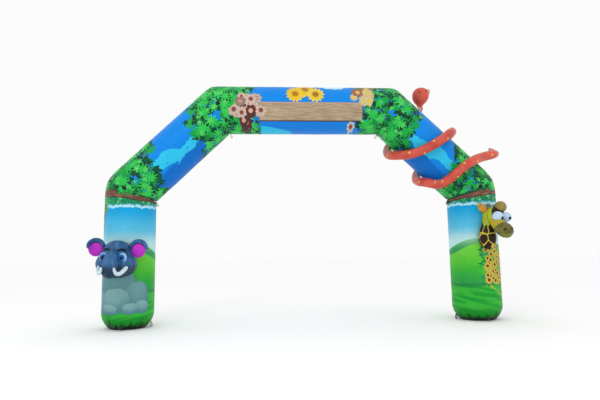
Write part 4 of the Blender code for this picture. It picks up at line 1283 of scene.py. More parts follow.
def flower_bed_group():
    """Printed flowers, one in each cell of a loose grid."""
    tree, s, given, gives = new_group(
        "printed flower bed", [("Plane", "vector", None), ("Cells", "number", 4.0),
                               ("Size", "number", 0.15),
                               ("Petals", "number", 9.0), ("Heart Size", "number", 0.36),
                               ("Seed", "number", 0.0)],
        [("Petal", "number"), ("Line", "number"), ("Heart", "number"), ("Tone", "number"),
         ("Centre", "vector")])
    shift = s.join(given["Seed"], s.product(given["Seed"], 1.7))
    moved = s.vector("ADD", given["Plane"], shift)
    cells = s.node("ShaderNodeTexVoronoi", voronoi_dimensions="2D", feature="F1")
    s.feed(cells.inputs["Vector"], moved)
    s.feed(cells.inputs["Scale"], given["Cells"])
    s.feed(cells.inputs["Randomness"], 0.6)
    dice = s.split(cells.outputs["Color"])
    parts = s.split(s.vector("SUBTRACT", moved, cells.outputs["Position"]))
    turn = s.total(s.maths("ARCTAN2", parts[1], parts[0]), s.product(dice[0], WHOLE_TURN))
    far = s.divide(s.vector("LENGTH", s.join(parts[0], parts[1])),
                  s.product(given["Size"], s.total(0.75, s.product(dice[1], 0.25))))
    wave = s.unsigned(s.cosine(s.product(turn, given["Petals"], 0.5)))
    inside = s.less(s.total(0.66, s.product(s.power(wave, 0.7), 0.34)), far)
    s.feed(gives["Petal"], s.ramp(inside, -0.01, 0.015))
    s.feed(gives["Line"], s.either(s.ramp(wave, 0.16, 0.04), s.ramp(inside, 0.06, 0.02)))
    s.feed(gives["Heart"], s.ramp(s.less(given["Heart Size"], far), -0.01, 0.02))
    s.feed(gives["Tone"], dice[2])
    s.feed(gives["Centre"], s.vector("SUBTRACT", cells.outputs["Position"], shift))
    return tree


class Printer:
    """The groups that all the cloths share, and the last steps of each cloth."""

    def __init__(self):
        self.cloth = cloth_group()
        self.sewing = sewing_group()
        self.leaves = leaf_group()
        self.flower = flower_group()
        self.bed = flower_bed_group()
        self.grass = grass_group()
        self.stone = stone_group()

    def start(self, name):
        """A new cloth: its material, its tools, its cut measure and its place on the arch."""
        material = bpy.data.materials.new(name)
        material.use_nodes = True
        s = Shading(material.node_tree)
        cut = s.node("ShaderNodeUVMap", uv_map="cut").outputs["UV"]
        place = s.node("ShaderNodeTexCoord").outputs["Object"]
        return material, s, cut, place

    def finish(self, material, s, cut, place, colour, folds=0.003, creases=0.0, sheen=0.02,
               rough=0.0, gloss=0.14, thread=(0.8, 0.8, 0.8, 1.0), stitches=1.0):
        """Lay the weave, the seams and the gloss over a colour."""
        shader = material.node_tree.nodes["Principled BSDF"]
        cloth = s.group(self.cloth, Cut=cut, Place=place, Folds=folds, Creases=creases)
        edge = s.node("ShaderNodeAttribute", attribute_name="edge").outputs["Fac"]
        sewn = s.group(self.sewing, Edge=edge, Round=s.split(cut)[1])
        fade = s.node("ShaderNodeHueSaturation")
        s.feed(fade.inputs["Color"], colour)
        # The value follows the cloth's tone, which holds the painted shade of its creases
        s.feed(fade.inputs["Value"], s.total(0.76, s.product(cloth["Tone"], 0.36)))
        shade = fade.outputs["Color"]
        # Painted shade along the seam's groove, then the stitches
        shade = s.mix(s.product(sewn["Line"], 0.55 * stitches), shade, (0.0, 0.0, 0.0, 1.0))
        shade = s.mix(s.product(sewn["Thread"], 0.35 * stitches), shade, thread)
        s.feed(shader.inputs["Base Color"], shade)
        s.feed(shader.inputs["Roughness"], s.total(cloth["Gloss"], rough))
        bump = s.node("ShaderNodeBump")
        bump.inputs["Strength"].default_value = 1.0
        bump.inputs["Distance"].default_value = 1.0
        s.feed(bump.inputs["Height"], s.total(cloth["Height"], sewn["Height"]))
        s.feed(shader.inputs["Normal"], bump.outputs["Normal"])
        shader.inputs["Sheen Weight"].default_value = sheen
        shader.inputs["Sheen Roughness"].default_value = 0.4
        shader.inputs["Specular IOR Level"].default_value = gloss
        return material

    def plain(self, name, code, second=None, **settings):
        """A cloth of one colour that fades here and there into a second."""
        material, s, cut, place = self.start(name)
        colour = code
        if second:
            colour = s.mix(s.ramp(s.noise(place, 3.0, 2.0), 0.38, 0.66), colour, second)
        return self.finish(material, s, cut, place, colour, **settings)


# The printed cloths

LEAF_LAYERS = (                # cells a metre, reach, lobes, waist, dark and light colour, cover
    (5.2, 0.17, 6.0, 0.5, "043626", "0a5834", 1.35),
    (5.4, 0.15, 7.0, 0.36, "0a7a38", "14a046", 1.15),
    (6.6, 0.12, 5.0, 0.3, "04402a", "0a5a34", 0.7),
    (6.0, 0.11, 5.0, 0.3, "2a7f86", "3f9a9c", 0.16),
    (4.6, 0.16, 8.0, 0.36, "109e40", "1cb84a", 0.62),
    (8.0, 0.09, 5.0, 0.28, "022c1e", "064a2c", 0.32),
    (4.3, 0.17, 9.0, 0.33, "1ebc46", "3cd45c", 0.5),
    (9.0, 0.075, 5.0, 0.28, "2cc24a", "6ade6c", 0.3))
SKY_BLUE = "0086e4"
DEEP_BLUE = "006ecc"
PALE_BLUE = "2cc0e8"


def leaf_coats(press, s, cut, cover_at, colour, seed=0.0, layers=LEAF_LAYERS):
    """Lay the layers of leaves over a colour, where cover_at, given a leaf's middle, is high."""
    for number, (cells, reach, lobes, waist, dark, light, cover) in enumerate(layers):
        leaf = s.group(press.leaves, Cut=cut, Cells=cells, Reach=reach, Lobes=lobes, Waist=waist,
                       Seed=s.total(seed, 3.1 * number + 0.7))
        there = s.above(s.product(cover_at(s, leaf["Centre"]), cover),
                        leaf["Chance"])
        tone = s.mix(leaf["Tone"], dark, light)
        tone = s.mix(s.product(leaf["Rib"], 0.45), tone, "0a3a24")
        tone = s.mix(s.product(leaf["Rim"], 0.35), tone, "083a26")
        colour = s.mix(s.product(leaf["Leaf"], there), colour, tone)
    return colour


def side_seed(s, place):
    """A different number for each half of the arch, so that its two prints differ."""
    return s.product(s.ramp(s.split(place)[0], -0.01, 0.01), 5.3)


def shoulder_cloth(press):
    material, s, cut, place = press.start("shoulder print")
    parts = s.split(cut)
    seed = side_seed(s, place)
    wobble = s.noise(s.vector("ADD", cut, s.join(seed, 0.0)), 2.4, 3.0)
    lean = s.total(parts[1], s.product(s.less(wobble, 0.5), 0.1), s.product(parts[0], -0.05))
    colour = s.mix(s.ramp(lean, -0.36, -0.37), SKY_BLUE, DEEP_BLUE)
    middle = s.total(-0.16, s.product(s.sine(s.total(s.product(parts[0], 3.1), seed)), 0.07))
    half = s.total(0.12, s.product(s.sine(s.total(s.product(parts[0], 7.3), seed)), 0.05),
                   s.product(s.wander(cut, 3.6, 3.0), 0.34))
    stream = s.ramp(s.less(half, s.unsigned(s.less(parts[1], middle))), -0.003, 0.003)
    isle = s.ramp(s.noise(s.vector("MULTIPLY", cut, (1.0, 2.2, 1.0)), 5.2, 1.0), 0.66, 0.67)
    stream = s.product(stream, s.band(parts[0], 0.5, 1.8, 0.01), s.inverse(isle))
    colour = s.mix(stream, colour, PALE_BLUE)

    def cover_at(s, middle):
        """Full at both seams, and none in the middle of the panel."""
        where = s.split(middle)
        ragged = s.product(s.wander(middle, 1.9, 1.0), 0.6)
        low = s.ramp(s.total(where[0], ragged, s.product(where[1], -0.32)), 0.9, 0.5)
        high = s.ramp(s.total(where[0], ragged, s.product(where[1], -0.3)), 1.68, 2.05)
        low_gap = s.vector("DISTANCE", middle, (0.26, 0.05, 0.0))
        high_gap = s.vector("DISTANCE", middle, (2.34, -0.12, 0.0))
        bare = s.product(s.ramp(low_gap, 0.08, 0.16), s.ramp(high_gap, 0.08, 0.16))
        return s.product(s.either(low, high), bare)

    colour = leaf_coats(press, s, cut, cover_at, colour, seed)
    return press.finish(material, s, cut, place, colour, folds=0.004)


PLANK = (-0.95, 1.18, 4.15, 4.5)   # left, right, bottom and top of the bare plank
BAR_FLOWERS = (                # across, up, size, petals, heart, petal colour, heart colour
    (0.0, 4.83, 0.22, 15, 0.34, "eecc36", "d09a20"), (-0.21, 4.7, 0.2, 14, 0.34, "ecc82c", "d0981c"),
    (0.21, 4.69, 0.19, 13, 0.36, "f0d444", "c88c20"), (0.96, 4.05, 0.09, 7, 0.4, "c0ccca", "b0484a"))
BAR_BEDS = (                   # cells a metre, size, petals, seed
    (4.0, 0.16, 8, 0.3), (5.2, 0.12, 9, 5.2), (4.6, 0.14, 7, 9.4))


def bar_cloth(press):
    material, s, cut, place = press.start("bar print")
    where = s.split(place)
    across = where[0]
    up = where[2]
    plane = s.join(across, up)
    colour = s.mix(s.ramp(up, 4.46, 4.3), SKY_BLUE, "0a80e0")
    sweep = s.total(s.product(s.total(across, 1.3), -0.17), 4.14,
                    s.product(s.wander(place, 1.2, 1.0), 0.12))
    colour = s.mix(s.product(s.ramp(s.less(sweep, up), -0.004, 0.004), s.ramp(up, 3.94, 3.96),
                             s.ramp(across, 0.3, -0.6)), colour, PALE_BLUE)
    cloud = s.total(s.product(s.sine(s.product(across, 7.0)), 0.05), 4.88,
                    s.product(s.wander(place, 3.0, 2.0), 0.2))
    colour = s.mix(s.product(s.ramp(s.less(up, cloud), 0.0, 0.012), s.band(across, 0.3, 0.95, 0.1)),
                   colour, "bfe6f4")
    left, right, low, high = PLANK
    plank = s.product(s.band(across, left, right, 0.004), s.band(up, low, high, 0.004))
    rim = s.product(s.band(across, left - 0.012, right + 0.02, 0.004),
                    s.band(up, low - 0.02, high + 0.006, 0.004))
    grain = s.noise(s.vector("MULTIPLY", place, (1.2, 1.0, 16.0)), 3.0, 4.0, 0.6)
    fine = s.noise(s.vector("MULTIPLY", place, (3.0, 1.0, 60.0)), 3.0, 3.0, 0.6)
    wood = s.mix(s.ramp(grain, 0.35, 0.65), "bca68c", "a08a70")
    wood = s.mix(s.product(s.ramp(fine, 0.52, 0.7), 0.35), wood, "786048")
    joint = s.either(s.band(up, 4.298, 4.302, 0.002), s.band(up, 4.402, 4.404, 0.002))
    wood = s.mix(s.product(joint, 0.4), wood, "7a5038")
    wood = s.mix(s.ramp(up, high - 0.02, high), wood, "d8b49c")
    colour = s.layers(colour, (rim, "4a3020"), (plank, wood))

    def cover_at(s, middle):
        """Full at both ends of the bar, ragged towards the plank."""
        spot = s.split(middle)
        far = s.unsigned(s.less(spot[0], UPPER_SEAM_X + 0.02))
        ragged = s.product(s.wander(middle, 2.2, 1.0), 0.45)
        low_edge = s.product(s.ramp(s.unsigned(spot[1]), 0.25, 0.6), 0.14)
        return s.ramp(s.total(far, ragged, low_edge, s.product(s.ramp(spot[0], 1.8, 1.7), 0.12)),
                      1.2, 1.36)

    colour = leaf_coats(press, s, cut, cover_at, colour, 1.3)
    for cells, size, petals, seed in BAR_BEDS:
        bed = s.group(press.bed, Plane=plane, Cells=cells, Size=size, Petals=float(petals), Seed=seed)
        left_far = s.vector("DISTANCE", bed["Centre"], (-1.2, 4.4, 0.0))
        right_far = s.vector("DISTANCE", bed["Centre"], (1.2, 4.68, 0.0))
        there = s.either(s.under(left_far, 0.3), s.under(right_far, 0.22))
        brown = s.mix(s.ramp(bed["Tone"], 0.45, 0.55), "5c3036", "ccb4a4")
        bronze = s.mix(s.ramp(bed["Tone"], 0.45, 0.55), "a06a54", "cfc08a")
        east = s.ramp(across, -0.01, 0.01)
        petal = s.mix(s.product(bed["Line"], 0.8), s.mix(east, brown, bronze), "3a201c")
        heart = s.mix(east, s.mix(s.ramp(bed["Tone"], 0.45, 0.55), "d8a888", "8a4a44"),
                      "e0c050")
        colour = s.layers(colour, (s.product(bed["Petal"], there), petal),
                          (s.product(bed["Heart"], there), heart))
    for x, z, size, petals, heart, petal_code, heart_code in BAR_FLOWERS:
        bloom = s.group(press.flower, Plane=plane, Middle=(x, z, 0.0), Size=size,
                        Petals=float(petals), Heart_Size=heart)
        petal = s.mix(s.product(s.ramp(bloom["Reach"], 0.9, 0.3), 0.35), petal_code,
                      heart_code)
        petal = s.mix(s.product(bloom["Line"], 0.55), petal, "4a2a18")
        heart_tone = s.mix(s.ramp(s.noise(plane, 90.0), 0.45, 0.6), heart_code,
                           "5a3418")
        colour = s.layers(colour, (bloom["Petal"], petal), (bloom["Heart"], heart_tone))
    return press.finish(material, s, cut, place, colour, folds=0.004)


FRINGE_LAYERS = (
    (9.0, 0.075, 5.0, 0.3, "0c6a50", "1f9a66", 1.1), (11.0, 0.06, 3.0, 0.3, "0a8a40", "2cb858", 0.9),
    (12.0, 0.05, 5.0, 0.3, "4ac878", "9ae8c0", 0.5))


def meadow(s, cut, seed):
    """Sky, cloud, two hills, a lawn and a row of dark bushes, for both legs."""
    parts = s.split(cut)
    up = parts[0]
    side = parts[1]
    sky = s.mix(s.ramp(up, 1.6, 1.95), "bce2e4", "58bee0")
    sky = s.mix(s.ramp(up, 1.85, 2.36), sky, "00a2dc")
    puff = s.noise(s.join(side, seed), 7.0, 3.0)
    cloud = s.total(up, s.product(s.less(puff, 0.5), 0.16))
    colour = s.mix(s.ramp(cloud, 2.355, 2.362), sky, "b4e4f2")
    colour = s.mix(s.ramp(cloud, 2.4, 2.41), colour, "58b8c8")
    colour = s.mix(s.ramp(cloud, 2.43, 2.44), colour, "1a7a68")
    hill = s.total(1.5, s.product(s.cosine(s.product(s.total(side, 0.12), 3.4)), 0.12),
                   s.product(s.wander(s.join(side, seed), 2.0, 1.0), 0.05))
    haze = s.ramp(s.less(s.total(hill, 0.05), up), -0.02, 0.012)
    colour = s.mix(haze, colour, s.mix(s.ramp(up, 1.45, 1.7), "2f9a5c", "8cc694"))
    near_hill = s.total(s.product(hill, 0.96), s.product(s.cosine(s.product(
        s.less(side, 0.02), 5.2)), 0.035))
    green = s.mix(s.ramp(up, 0.95, 1.5), "3cb82c", "6ccc40")
    green = s.mix(s.ramp(up, 1.2, 0.8), green, "2aa044")
    colour = s.mix(s.ramp(s.less(near_hill, up), -0.006, 0.012), colour, green)
    glow = s.product(s.ramp(s.unsigned(s.less(side, 0.05)), 0.3, 0.0), s.band(up, 0.85, 1.35, 0.15))
    colour = s.mix(s.product(glow, 0.5), colour, "52d018")
    lawn_top = s.total(0.75, s.product(s.sine(s.product(side, 2.6)), 0.03),
                       s.product(s.wander(s.join(side, seed), 6.0, 2.0), 0.03))
    slope = s.total(up, s.product(s.sine(s.total(s.product(side, 1.7), 0.4)), 0.12))
    swathe = s.noise(s.vector("MULTIPLY", s.join(slope, side), (7.0, 0.8, 1.0)), 1.6, 1.0)
    lawn = s.mix(s.ramp(swathe, 0.44, 0.56), "189c30", "36b436")
    lawn = s.mix(s.ramp(up, 0.34, 0.1), lawn, "0c8a24")
    dark_edge = s.ramp(s.unsigned(s.less(up, lawn_top)), 0.06, 0.0)
    colour = s.mix(s.ramp(s.less(lawn_top, up), -0.004, 0.01), colour, lawn)
    colour = s.mix(s.product(dark_edge, 0.6), colour, "1e6e44")
    bushes = s.noise(s.join(side, seed), 9.0, 3.0)
    shrub = s.ramp(s.less(s.total(lawn_top, s.product(s.less(bushes, 0.42), 0.5)), up), -0.002, 0.006)
    shrub = s.product(shrub, s.ramp(up, 0.77, 0.8), s.ramp(s.unsigned(side), 0.3, 0.5))
    colour = s.mix(s.product(shrub, 0.85), colour, "14604a")
    return colour


def branch_line(s, side):
    """The branch's middle line, higher on the outer side of the leg."""
    return s.total(2.605, s.product(s.sine(s.divide(side, TUBE_RADIUS)), 0.1))


def branch_and_fringe(press, s, cut, colour, seed):
    """The branch under the seam at the top of a leg, with leaves over and under it."""
    parts = s.split(cut)
    up = parts[0]
    line = s.total(branch_line(s, parts[1]),
                   s.product(s.wander(s.join(parts[1], seed), 4.0, 2.0), 0.05))
    under = s.less(up, line)

    def fringe_at(s, middle):
        spot = s.split(middle)
        return s.product(s.ramp(spot[0], 2.42, 2.47), s.ramp(spot[0], 2.6, 2.55), 1.2)

    colour = leaf_coats(press, s, cut, fringe_at, colour, s.total(seed, 2.2), FRINGE_LAYERS)
    half = s.total(0.055, s.product(s.sine(s.divide(parts[1], TUBE_RADIUS)), 0.03))
    grain = s.noise(s.vector("MULTIPLY", s.join(under, parts[1]), (13.0, 1.6, 1.0)), 3.0, 4.0)
    bark = s.mix(s.ramp(grain, 0.38, 0.6), "5e4038", "93644e")
    bark = s.mix(s.ramp(s.unsigned(s.less(grain, 0.5)), 0.02, 0.005), bark, "3a241e")
    bark = s.mix(s.ramp(under, 0.0, 0.05), bark, "6f4c40")
    spread = s.less(half, s.unsigned(under))
    colour = s.mix(s.ramp(spread, -0.016, -0.008), colour, "2a1c16")
    colour = s.mix(s.ramp(spread, -0.004, 0.004), colour, bark)

    def crown_at(s, middle):
        spot = s.split(middle)
        return s.ramp(s.less(spot[0], branch_line(s, spot[1])), 0.07, 0.12)

    ground = s.mix(s.ramp(s.less(under, half), -0.004, 0.006), colour, "0a4a2c")
    return leaf_coats(press, s, cut, crown_at, ground, seed, LEAF_LAYERS[1:])


STONES = (                     # round the leg, height, half width, half height, lean, light
    (0.5, 0.86, 0.24, 0.3, 0.1, 0.1), (0.1, 0.88, 0.36, 0.34, -0.1, 0.5),
    (-0.3, 0.66, 0.24, 0.28, 0.25, 0.35), (0.5, 0.52, 0.26, 0.22, 0.0, 0.5),
    (0.12, 0.56, 0.3, 0.25, 0.1, 0.8), (-0.4, 0.44, 0.15, 0.13, -0.1, 0.7),
    (-0.18, 0.41, 0.16, 0.11, 0.1, 0.95), (0.26, 0.4, 0.19, 0.1, -0.1, 0.9))


def stone_group():
    """A printed stone: a rounded shape with a darker outline, lit from above."""
    tree, s, given, gives = new_group(
        "printed stone", [("Cut", "vector", None), ("Middle", "vector", None), ("Size", "vector", None),
                          ("Lean", "number", 0.0)],
        [("Stone", "number"), ("Line", "number"), ("Light", "number")])
    parts = s.split(s.vector("SUBTRACT", given["Cut"], given["Middle"]))
    size = s.split(given["Size"])
    up = s.divide(s.total(parts[0], s.product(parts[1], given["Lean"])), size[0])
    side = s.divide(s.less(parts[1], s.product(parts[0], given["Lean"])), size[1])
    far = s.power(s.total(s.power(s.unsigned(up), 2.4),
                                   s.power(s.unsigned(side), 2.4)), 0.42)
    far = s.total(far, s.product(s.wander(given["Cut"], 5.0, 1.0), 0.14))
    s.feed(gives["Stone"], s.ramp(far, 1.005, 0.995))
    s.feed(gives["Line"], s.ramp(far, 0.945, 0.975))
    s.feed(gives["Light"], s.ramp(s.total(up, s.product(far, -0.6)), -1.4, 0.5))
    return tree


def left_leg_cloth(press):
    material, s, cut, place = press.start("left leg print")
    colour = meadow(s, cut, 0.0)

    for side, up, half, tall, lean, light in STONES:
        stone = s.group(press.stone, Cut=cut, Middle=(up, side, 0.0), Size=(tall, half, 0.0),
                        Lean=lean)
        tone = s.mix(stone["Light"], "4c828c", "80acaa" if light > 0.6 else "6c9c9e")
        tone = s.mix(s.product(stone["Line"], 0.55), tone, "3f6a74")
        colour = s.mix(stone["Stone"], colour, tone)

    parts = s.split(cut)
    trunk = s.total(parts[1], s.product(parts[0], 0.466),
                    s.product(s.wander(s.join(parts[0], 0.0), 6.0, 2.0), 0.06))
    wood = s.mix(s.ramp(s.noise(s.vector("MULTIPLY", cut, (1.5, 14.0, 1.0)), 3.0, 3.0), 0.4, 0.6),
                 "5c4030", "84604a")
    colour = s.mix(s.product(s.band(trunk, 1.5, 2.0, 0.004), s.ramp(parts[1], 0.9, 0.85)), colour, wood)

    def vine_at(s, middle):
        spot = s.split(middle)
        return s.product(s.ramp(s.total(spot[1], s.product(spot[0], 0.466)), 1.42, 1.48),
                         s.ramp(spot[1], 0.98, 0.9), s.ramp(spot[0], 1.6, 1.75), 0.85)

    colour = leaf_coats(press, s, cut, vine_at, colour, 6.0, FRINGE_LAYERS)
    colour = branch_and_fringe(press, s, cut, colour, 0.4)
    colour = s.mix(s.group(press.grass, Cut=cut, Foot=0.07, Height=0.2,
                        Blade=0.042)["Grass"], colour,
                   "0a1410")
    return press.finish(material, s, cut, place, colour, folds=0.004)


SUNFLOWERS = (                 # cells a metre, size, petals, heart, seed
    (4.9, 0.1, 13, 0.4, 0.4), (6.0, 0.085, 12, 0.42, 3.3), (7.0, 0.07, 11, 0.44, 7.9))
STEMS = (                      # foot and head of each stem, round the leg and up
    (0.02, 0.7, 0.16, 1.13), (0.1, 0.66, 0.1, 1.3), (0.5, 0.42, 0.1, 0.72), (0.47, 0.5, 0.38, 1.4),
    (0.52, 0.4, 0.45, 0.98))


def right_leg_cloth(press):
    material, s, cut, place = press.start("right leg print")
    colour = meadow(s, cut, 3.0)
    parts = s.split(cut)
    for foot_side, foot_up, head_side, head_up in STEMS:
        share = s.divide(s.less(parts[0], foot_up), head_up - foot_up)
        line = s.total(foot_side, s.product(share, head_side - foot_side),
                       s.product(s.sine(s.product(share, 6.0)), 0.012))
        stem = s.product(s.ramp(s.unsigned(s.less(parts[1], line)), 0.012, 0.009),
                         s.band(share, 0.0, 1.0, 0.005))
        colour = s.mix(stem, colour, "c9b048")

    def greens_at(s, middle):
        spot = s.split(middle)
        return s.product(s.band(spot[1], -0.08, 0.6, 0.05), s.band(spot[0], 0.72, 1.5, 0.06), 0.9)

    colour = leaf_coats(press, s, cut, greens_at, colour, 8.0, FRINGE_LAYERS[:2])
    flat = s.join(parts[1], parts[0])
    for cells, size, petals, heart, seed in SUNFLOWERS:
        bed = s.group(press.bed, Plane=flat, Cells=cells, Size=size, Petals=float(petals),
                      Heart_Size=heart, Seed=seed)
        spot = s.split(bed["Centre"])
        there = s.product(s.above(spot[0], 0.02), s.under(spot[0], 0.6),
                          s.above(spot[1], 0.78), s.under(spot[1], 1.5))
        petal = s.mix(s.product(bed["Line"], 0.7), "ccb448", "86602a")
        heart_tone = s.mix(s.ramp(s.noise(flat, 120.0), 0.45, 0.6), "4a2a1c", "8a5a30")
        colour = s.layers(colour, (s.product(bed["Petal"], there), petal),
                          (s.product(bed["Heart"], there), heart_tone))
    colour = branch_and_fringe(press, s, cut, colour, 2.9)
    grass = s.group(press.grass, Cut=cut, Foot=0.066, Height=0.17, Blade=0.038)["Grass"]
    corner = s.group(press.grass, Cut=cut, Foot=0.24, Height=0.26, Blade=0.03)["Grass"]
    corner = s.product(corner, s.ramp(parts[1], 0.4, 0.44))
    colour = s.mix(s.either(grass, corner), colour, "0a1410")
    return press.finish(material, s, cut, place, colour, folds=0.004)


# The animals' cloths

def neck_cloth(press):
    """Dark patches with yellow lines between them, fading out under the head."""
    material, s, cut, place = press.start("patched cloth")
    rough = s.vector("ADD", place, s.join(s.product(s.wander(place, 9.0), 0.05), 0.0))
    spread = s.vector("MULTIPLY", rough, (1.0, 1.0, 0.8))
    cells = s.node("ShaderNodeTexVoronoi", feature="DISTANCE_TO_EDGE")
    middles = s.node("ShaderNodeTexVoronoi", feature="F1")
    for texture in (cells, middles):
        s.feed(texture.inputs["Vector"], spread)
        s.feed(texture.inputs["Scale"], 5.6)
        s.feed(texture.inputs["Randomness"], 0.75)
    height = s.split(place)[2]
    low = s.under(s.split(middles.outputs["Position"])[2], 1.93 * 0.8)
    patch = s.product(s.ramp(cells.outputs["Distance"], 0.045, 0.06), low)
    ground = s.mix(s.ramp(height, 1.6, 2.0), "c8b23c", "9aac2e")
    brown = s.mix(s.noise(place, 14.0), "1c1210", "3a241c")
    colour = s.mix(patch, ground, brown)
    return press.finish(material, s, cut, place, colour)


def elephant_cloth(press):
    """Blue grey with paler streaks painted as highlights, darker streaks, and painted shade low on the head.
    """
    material, s, cut, place = press.start("blue grey cloth")
    colour = s.mix(s.ramp(s.noise(place, 4.0, 3.0), 0.36, 0.64), "1c4c78", "2c689a")
    streak = s.noise(s.vector("MULTIPLY", place, (2.4, 1.0, 0.7)), 8.0, 3.0, 0.6)
    # Paler streaks, painted as highlights; then darker streaks
    colour = s.mix(s.product(s.ramp(streak, 0.54, 0.68), 0.45), colour, "5490c0")
    colour = s.mix(s.product(s.ramp(streak, 0.46, 0.34), 0.5), colour, "183454")
    # Painted shade: darker towards the bottom of the head
    height = s.split(place)[2]
    colour = s.mix(s.product(s.ramp(height, 1.3, 1.14), 0.75), colour, "0e2434")
    return press.finish(material, s, cut, place, colour, folds=0.008, creases=0.008, gloss=0.3)


def giraffe_head_cloth(press):
    """Yellow green, with a dark brown strip behind the eyes."""
    material, s, cut, place = press.start("giraffe head cloth")
    ahead = s.vector("DOT_PRODUCT", s.vector("SUBTRACT", place, tuple(GIRAFFE_SKULL)),
                     (0.55, -0.8, 0.1))
    strip = s.product(s.ramp(ahead, 0.035, 0.045), s.ramp(s.split(place)[2], 2.03, 2.06))
    ground = s.mix(s.ramp(s.noise(place, 5.0), 0.4, 0.65), "a9b42e", "8f9a2a")
    colour = s.mix(strip, ground, "2a1a16")
    return press.finish(material, s, cut, place, colour)


def muzzle_cloth(press):
    """Tan at the root, olive at the nose, with two nostrils and a dark mouth line."""
    material, s, cut, place = press.start("muzzle cloth")
    run = s.split(cut)[0]
    ground = s.mix(s.ramp(s.noise(place, 6.0), 0.4, 0.65), "7e7c3a", "5a582a")
    under = s.total(run, s.product(s.less(1.95, s.split(place)[2]), 0.6))
    ground = s.mix(s.ramp(under, 0.24, 0.17), ground, "b8a62c")
    for spot in NOSTRILS:
        far = s.vector("DISTANCE", place, spot)
        ground = s.mix(s.ramp(far, 0.04, 0.028), ground, "4e4620")
        ground = s.mix(s.ramp(far, 0.026, 0.018), ground, "1c1810")
    mouth = s.product(s.ramp(s.unsigned(s.less(run, 0.2)), 0.007, 0.003),
                      s.ramp(s.split(place)[2], 2.2, 1.9))
    ground = s.mix(s.product(mouth, 0.7), ground, "4a3c1a")
    return press.finish(material, s, cut, place, ground)


NOSTRILS = ((3.74, -1.1, 1.81), (3.88, -1.13, 1.83))


def near_ear_cloth(press):
    """Yellow outside, with an orange lining edged in brown on the front."""
    material, s, cut, place = press.start("ear cloth")
    forward = s.split(s.node("ShaderNodeNewGeometry").outputs["Normal"])[1]
    run = s.split(cut)[0]
    lining = s.product(s.ramp(forward, -0.55, -0.62), s.band(run, 0.05, 0.21, 0.01))
    rim = s.product(s.ramp(forward, -0.42, -0.5), s.band(run, 0.035, 0.225, 0.01))
    colour = s.layers("aea23a", (rim, "7a5420"), (lining, "cc8c34"))
    return press.finish(material, s, cut, place, colour)


def snake_cloth(press, name, spots):
    """Red, paler on the belly, with painted highlight on the folds and a row of yellow spots along each side.
    """
    material, s, cut, place = press.start(name)
    run = s.split(cut)[0]
    turn = s.node("ShaderNodeAttribute", attribute_name="side").outputs["Fac"]
    fold = s.node("ShaderNodeAttribute", attribute_name="fold").outputs["Fac"]
    ground = s.mix(s.ramp(s.noise(place, 4.0, 3.0), 0.38, 0.66), "d4503c", "be3c2e")
    if spots:
        wide = s.unsigned(turn)
        ground = s.mix(s.ramp(wide, 2.25, 2.35), ground, "f0c8a8")
        # Painted highlight, pale peach, on the folds at the inside of bends
        ground = s.mix(s.product(fold, 0.75), ground, "f2cdb0")
        shifted = s.total(run, s.product(s.maths("SIGN", turn), 0.13))
        row = s.less(s.maths("FRACT", s.divide(shifted, 0.52)), 0.5)
        far = s.vector("LENGTH", s.join(s.product(row, 0.52), s.product(s.less(wide, 0.75), 0.096)))
        spot = s.product(s.ramp(far, 0.026, 0.022), s.ramp(run, 0.2, 0.4))
        ground = s.mix(spot, ground, "e8b83c")
    return press.finish(material, s, cut, place, ground, rough=-0.08, gloss=0.45, creases=0.003)


def snake_head_cloth(press):
    material, s, cut, place = press.start("snake head cloth")
    ground = s.mix(s.ramp(s.noise(place, 4.0, 3.0), 0.38, 0.66), "d4523e", "c04434")
    for spot in SNAKE_NOSTRILS:
        ground = s.mix(s.ramp(s.vector("DISTANCE", place, spot), 0.036, 0.014), ground, "6a1418")
    return press.finish(material, s, cut, place, ground, rough=-0.08, gloss=0.45, creases=0.003)


SNAKE_NOSTRILS = ((2.6, 0.1, 4.95), (2.76, 0.105, 4.98))


def webbing_cloth(press):
    """Woven black strap: ribs across it and cords along it."""
    material, s, cut, _ = press.start("webbing")
    parts = s.split(cut)
    ribs = s.sine(s.product(parts[0], 2600.0))
    cords = s.sine(s.product(parts[1], 1600.0))
    shader = material.node_tree.nodes["Principled BSDF"]
    tone = s.ramp(s.product(ribs, cords), -1.0, 1.0)
    s.feed(shader.inputs["Base Color"], s.mix(tone, "0e0f11", "2c2e32"))
    s.feed(shader.inputs["Roughness"], s.total(0.7, s.product(tone, 0.15)))
    bump = s.node("ShaderNodeBump")
    bump.inputs["Strength"].default_value = 1.0
    bump.inputs["Distance"].default_value = 1.0
    s.feed(bump.inputs["Height"], s.product(ribs, cords, 0.00025))
    s.feed(shader.inputs["Normal"], bump.outputs["Normal"])
    return material


def make_cloth():
    press = Printer()
    return {
        "leg_left": left_leg_cloth(press), "leg_right": right_leg_cloth(press),
        "shoulder": shoulder_cloth(press), "bar": bar_cloth(press),
        "black": press.plain("black cloth", "12161a", "1c2226", thread=(0.1, 0.1, 0.1, 1.0)),
        "webbing": webbing_cloth(press),
        "blue grey": elephant_cloth(press),
        "magenta": press.plain("magenta cloth", "c034c4", "9c28ac", creases=0.004),
        "ivory": press.plain("tusk cloth", "d3e7ee", "c0dbe6"),
        "eye": press.plain("eye cloth", "c6dcf2", "b4cce8", stitches=0.4),
        "elephant eye": press.plain("pale eye cloth", "b0d0ee", "98c0e6", stitches=0.4),
        "blue": press.plain("blue cloth", "2272c0", "1a5ca8"),
        "dark": press.plain("dark cloth", "080a12", "0c1018"),
        "giraffe head": giraffe_head_cloth(press), "muzzle": muzzle_cloth(press),
        "neck": neck_cloth(press), "horn": press.plain("horn cloth", "8a6a3a", "a07c48"),
        "near ear": near_ear_cloth(press),
        "far ear": press.plain("far ear cloth", "96884a", "847a3e"),
        "snake": snake_cloth(press, "snake cloth", True), "snake head": snake_head_cloth(press),
        "cream": press.plain("snake eye cloth", "e2a088", "d88c74")}


# Camera, floor and light

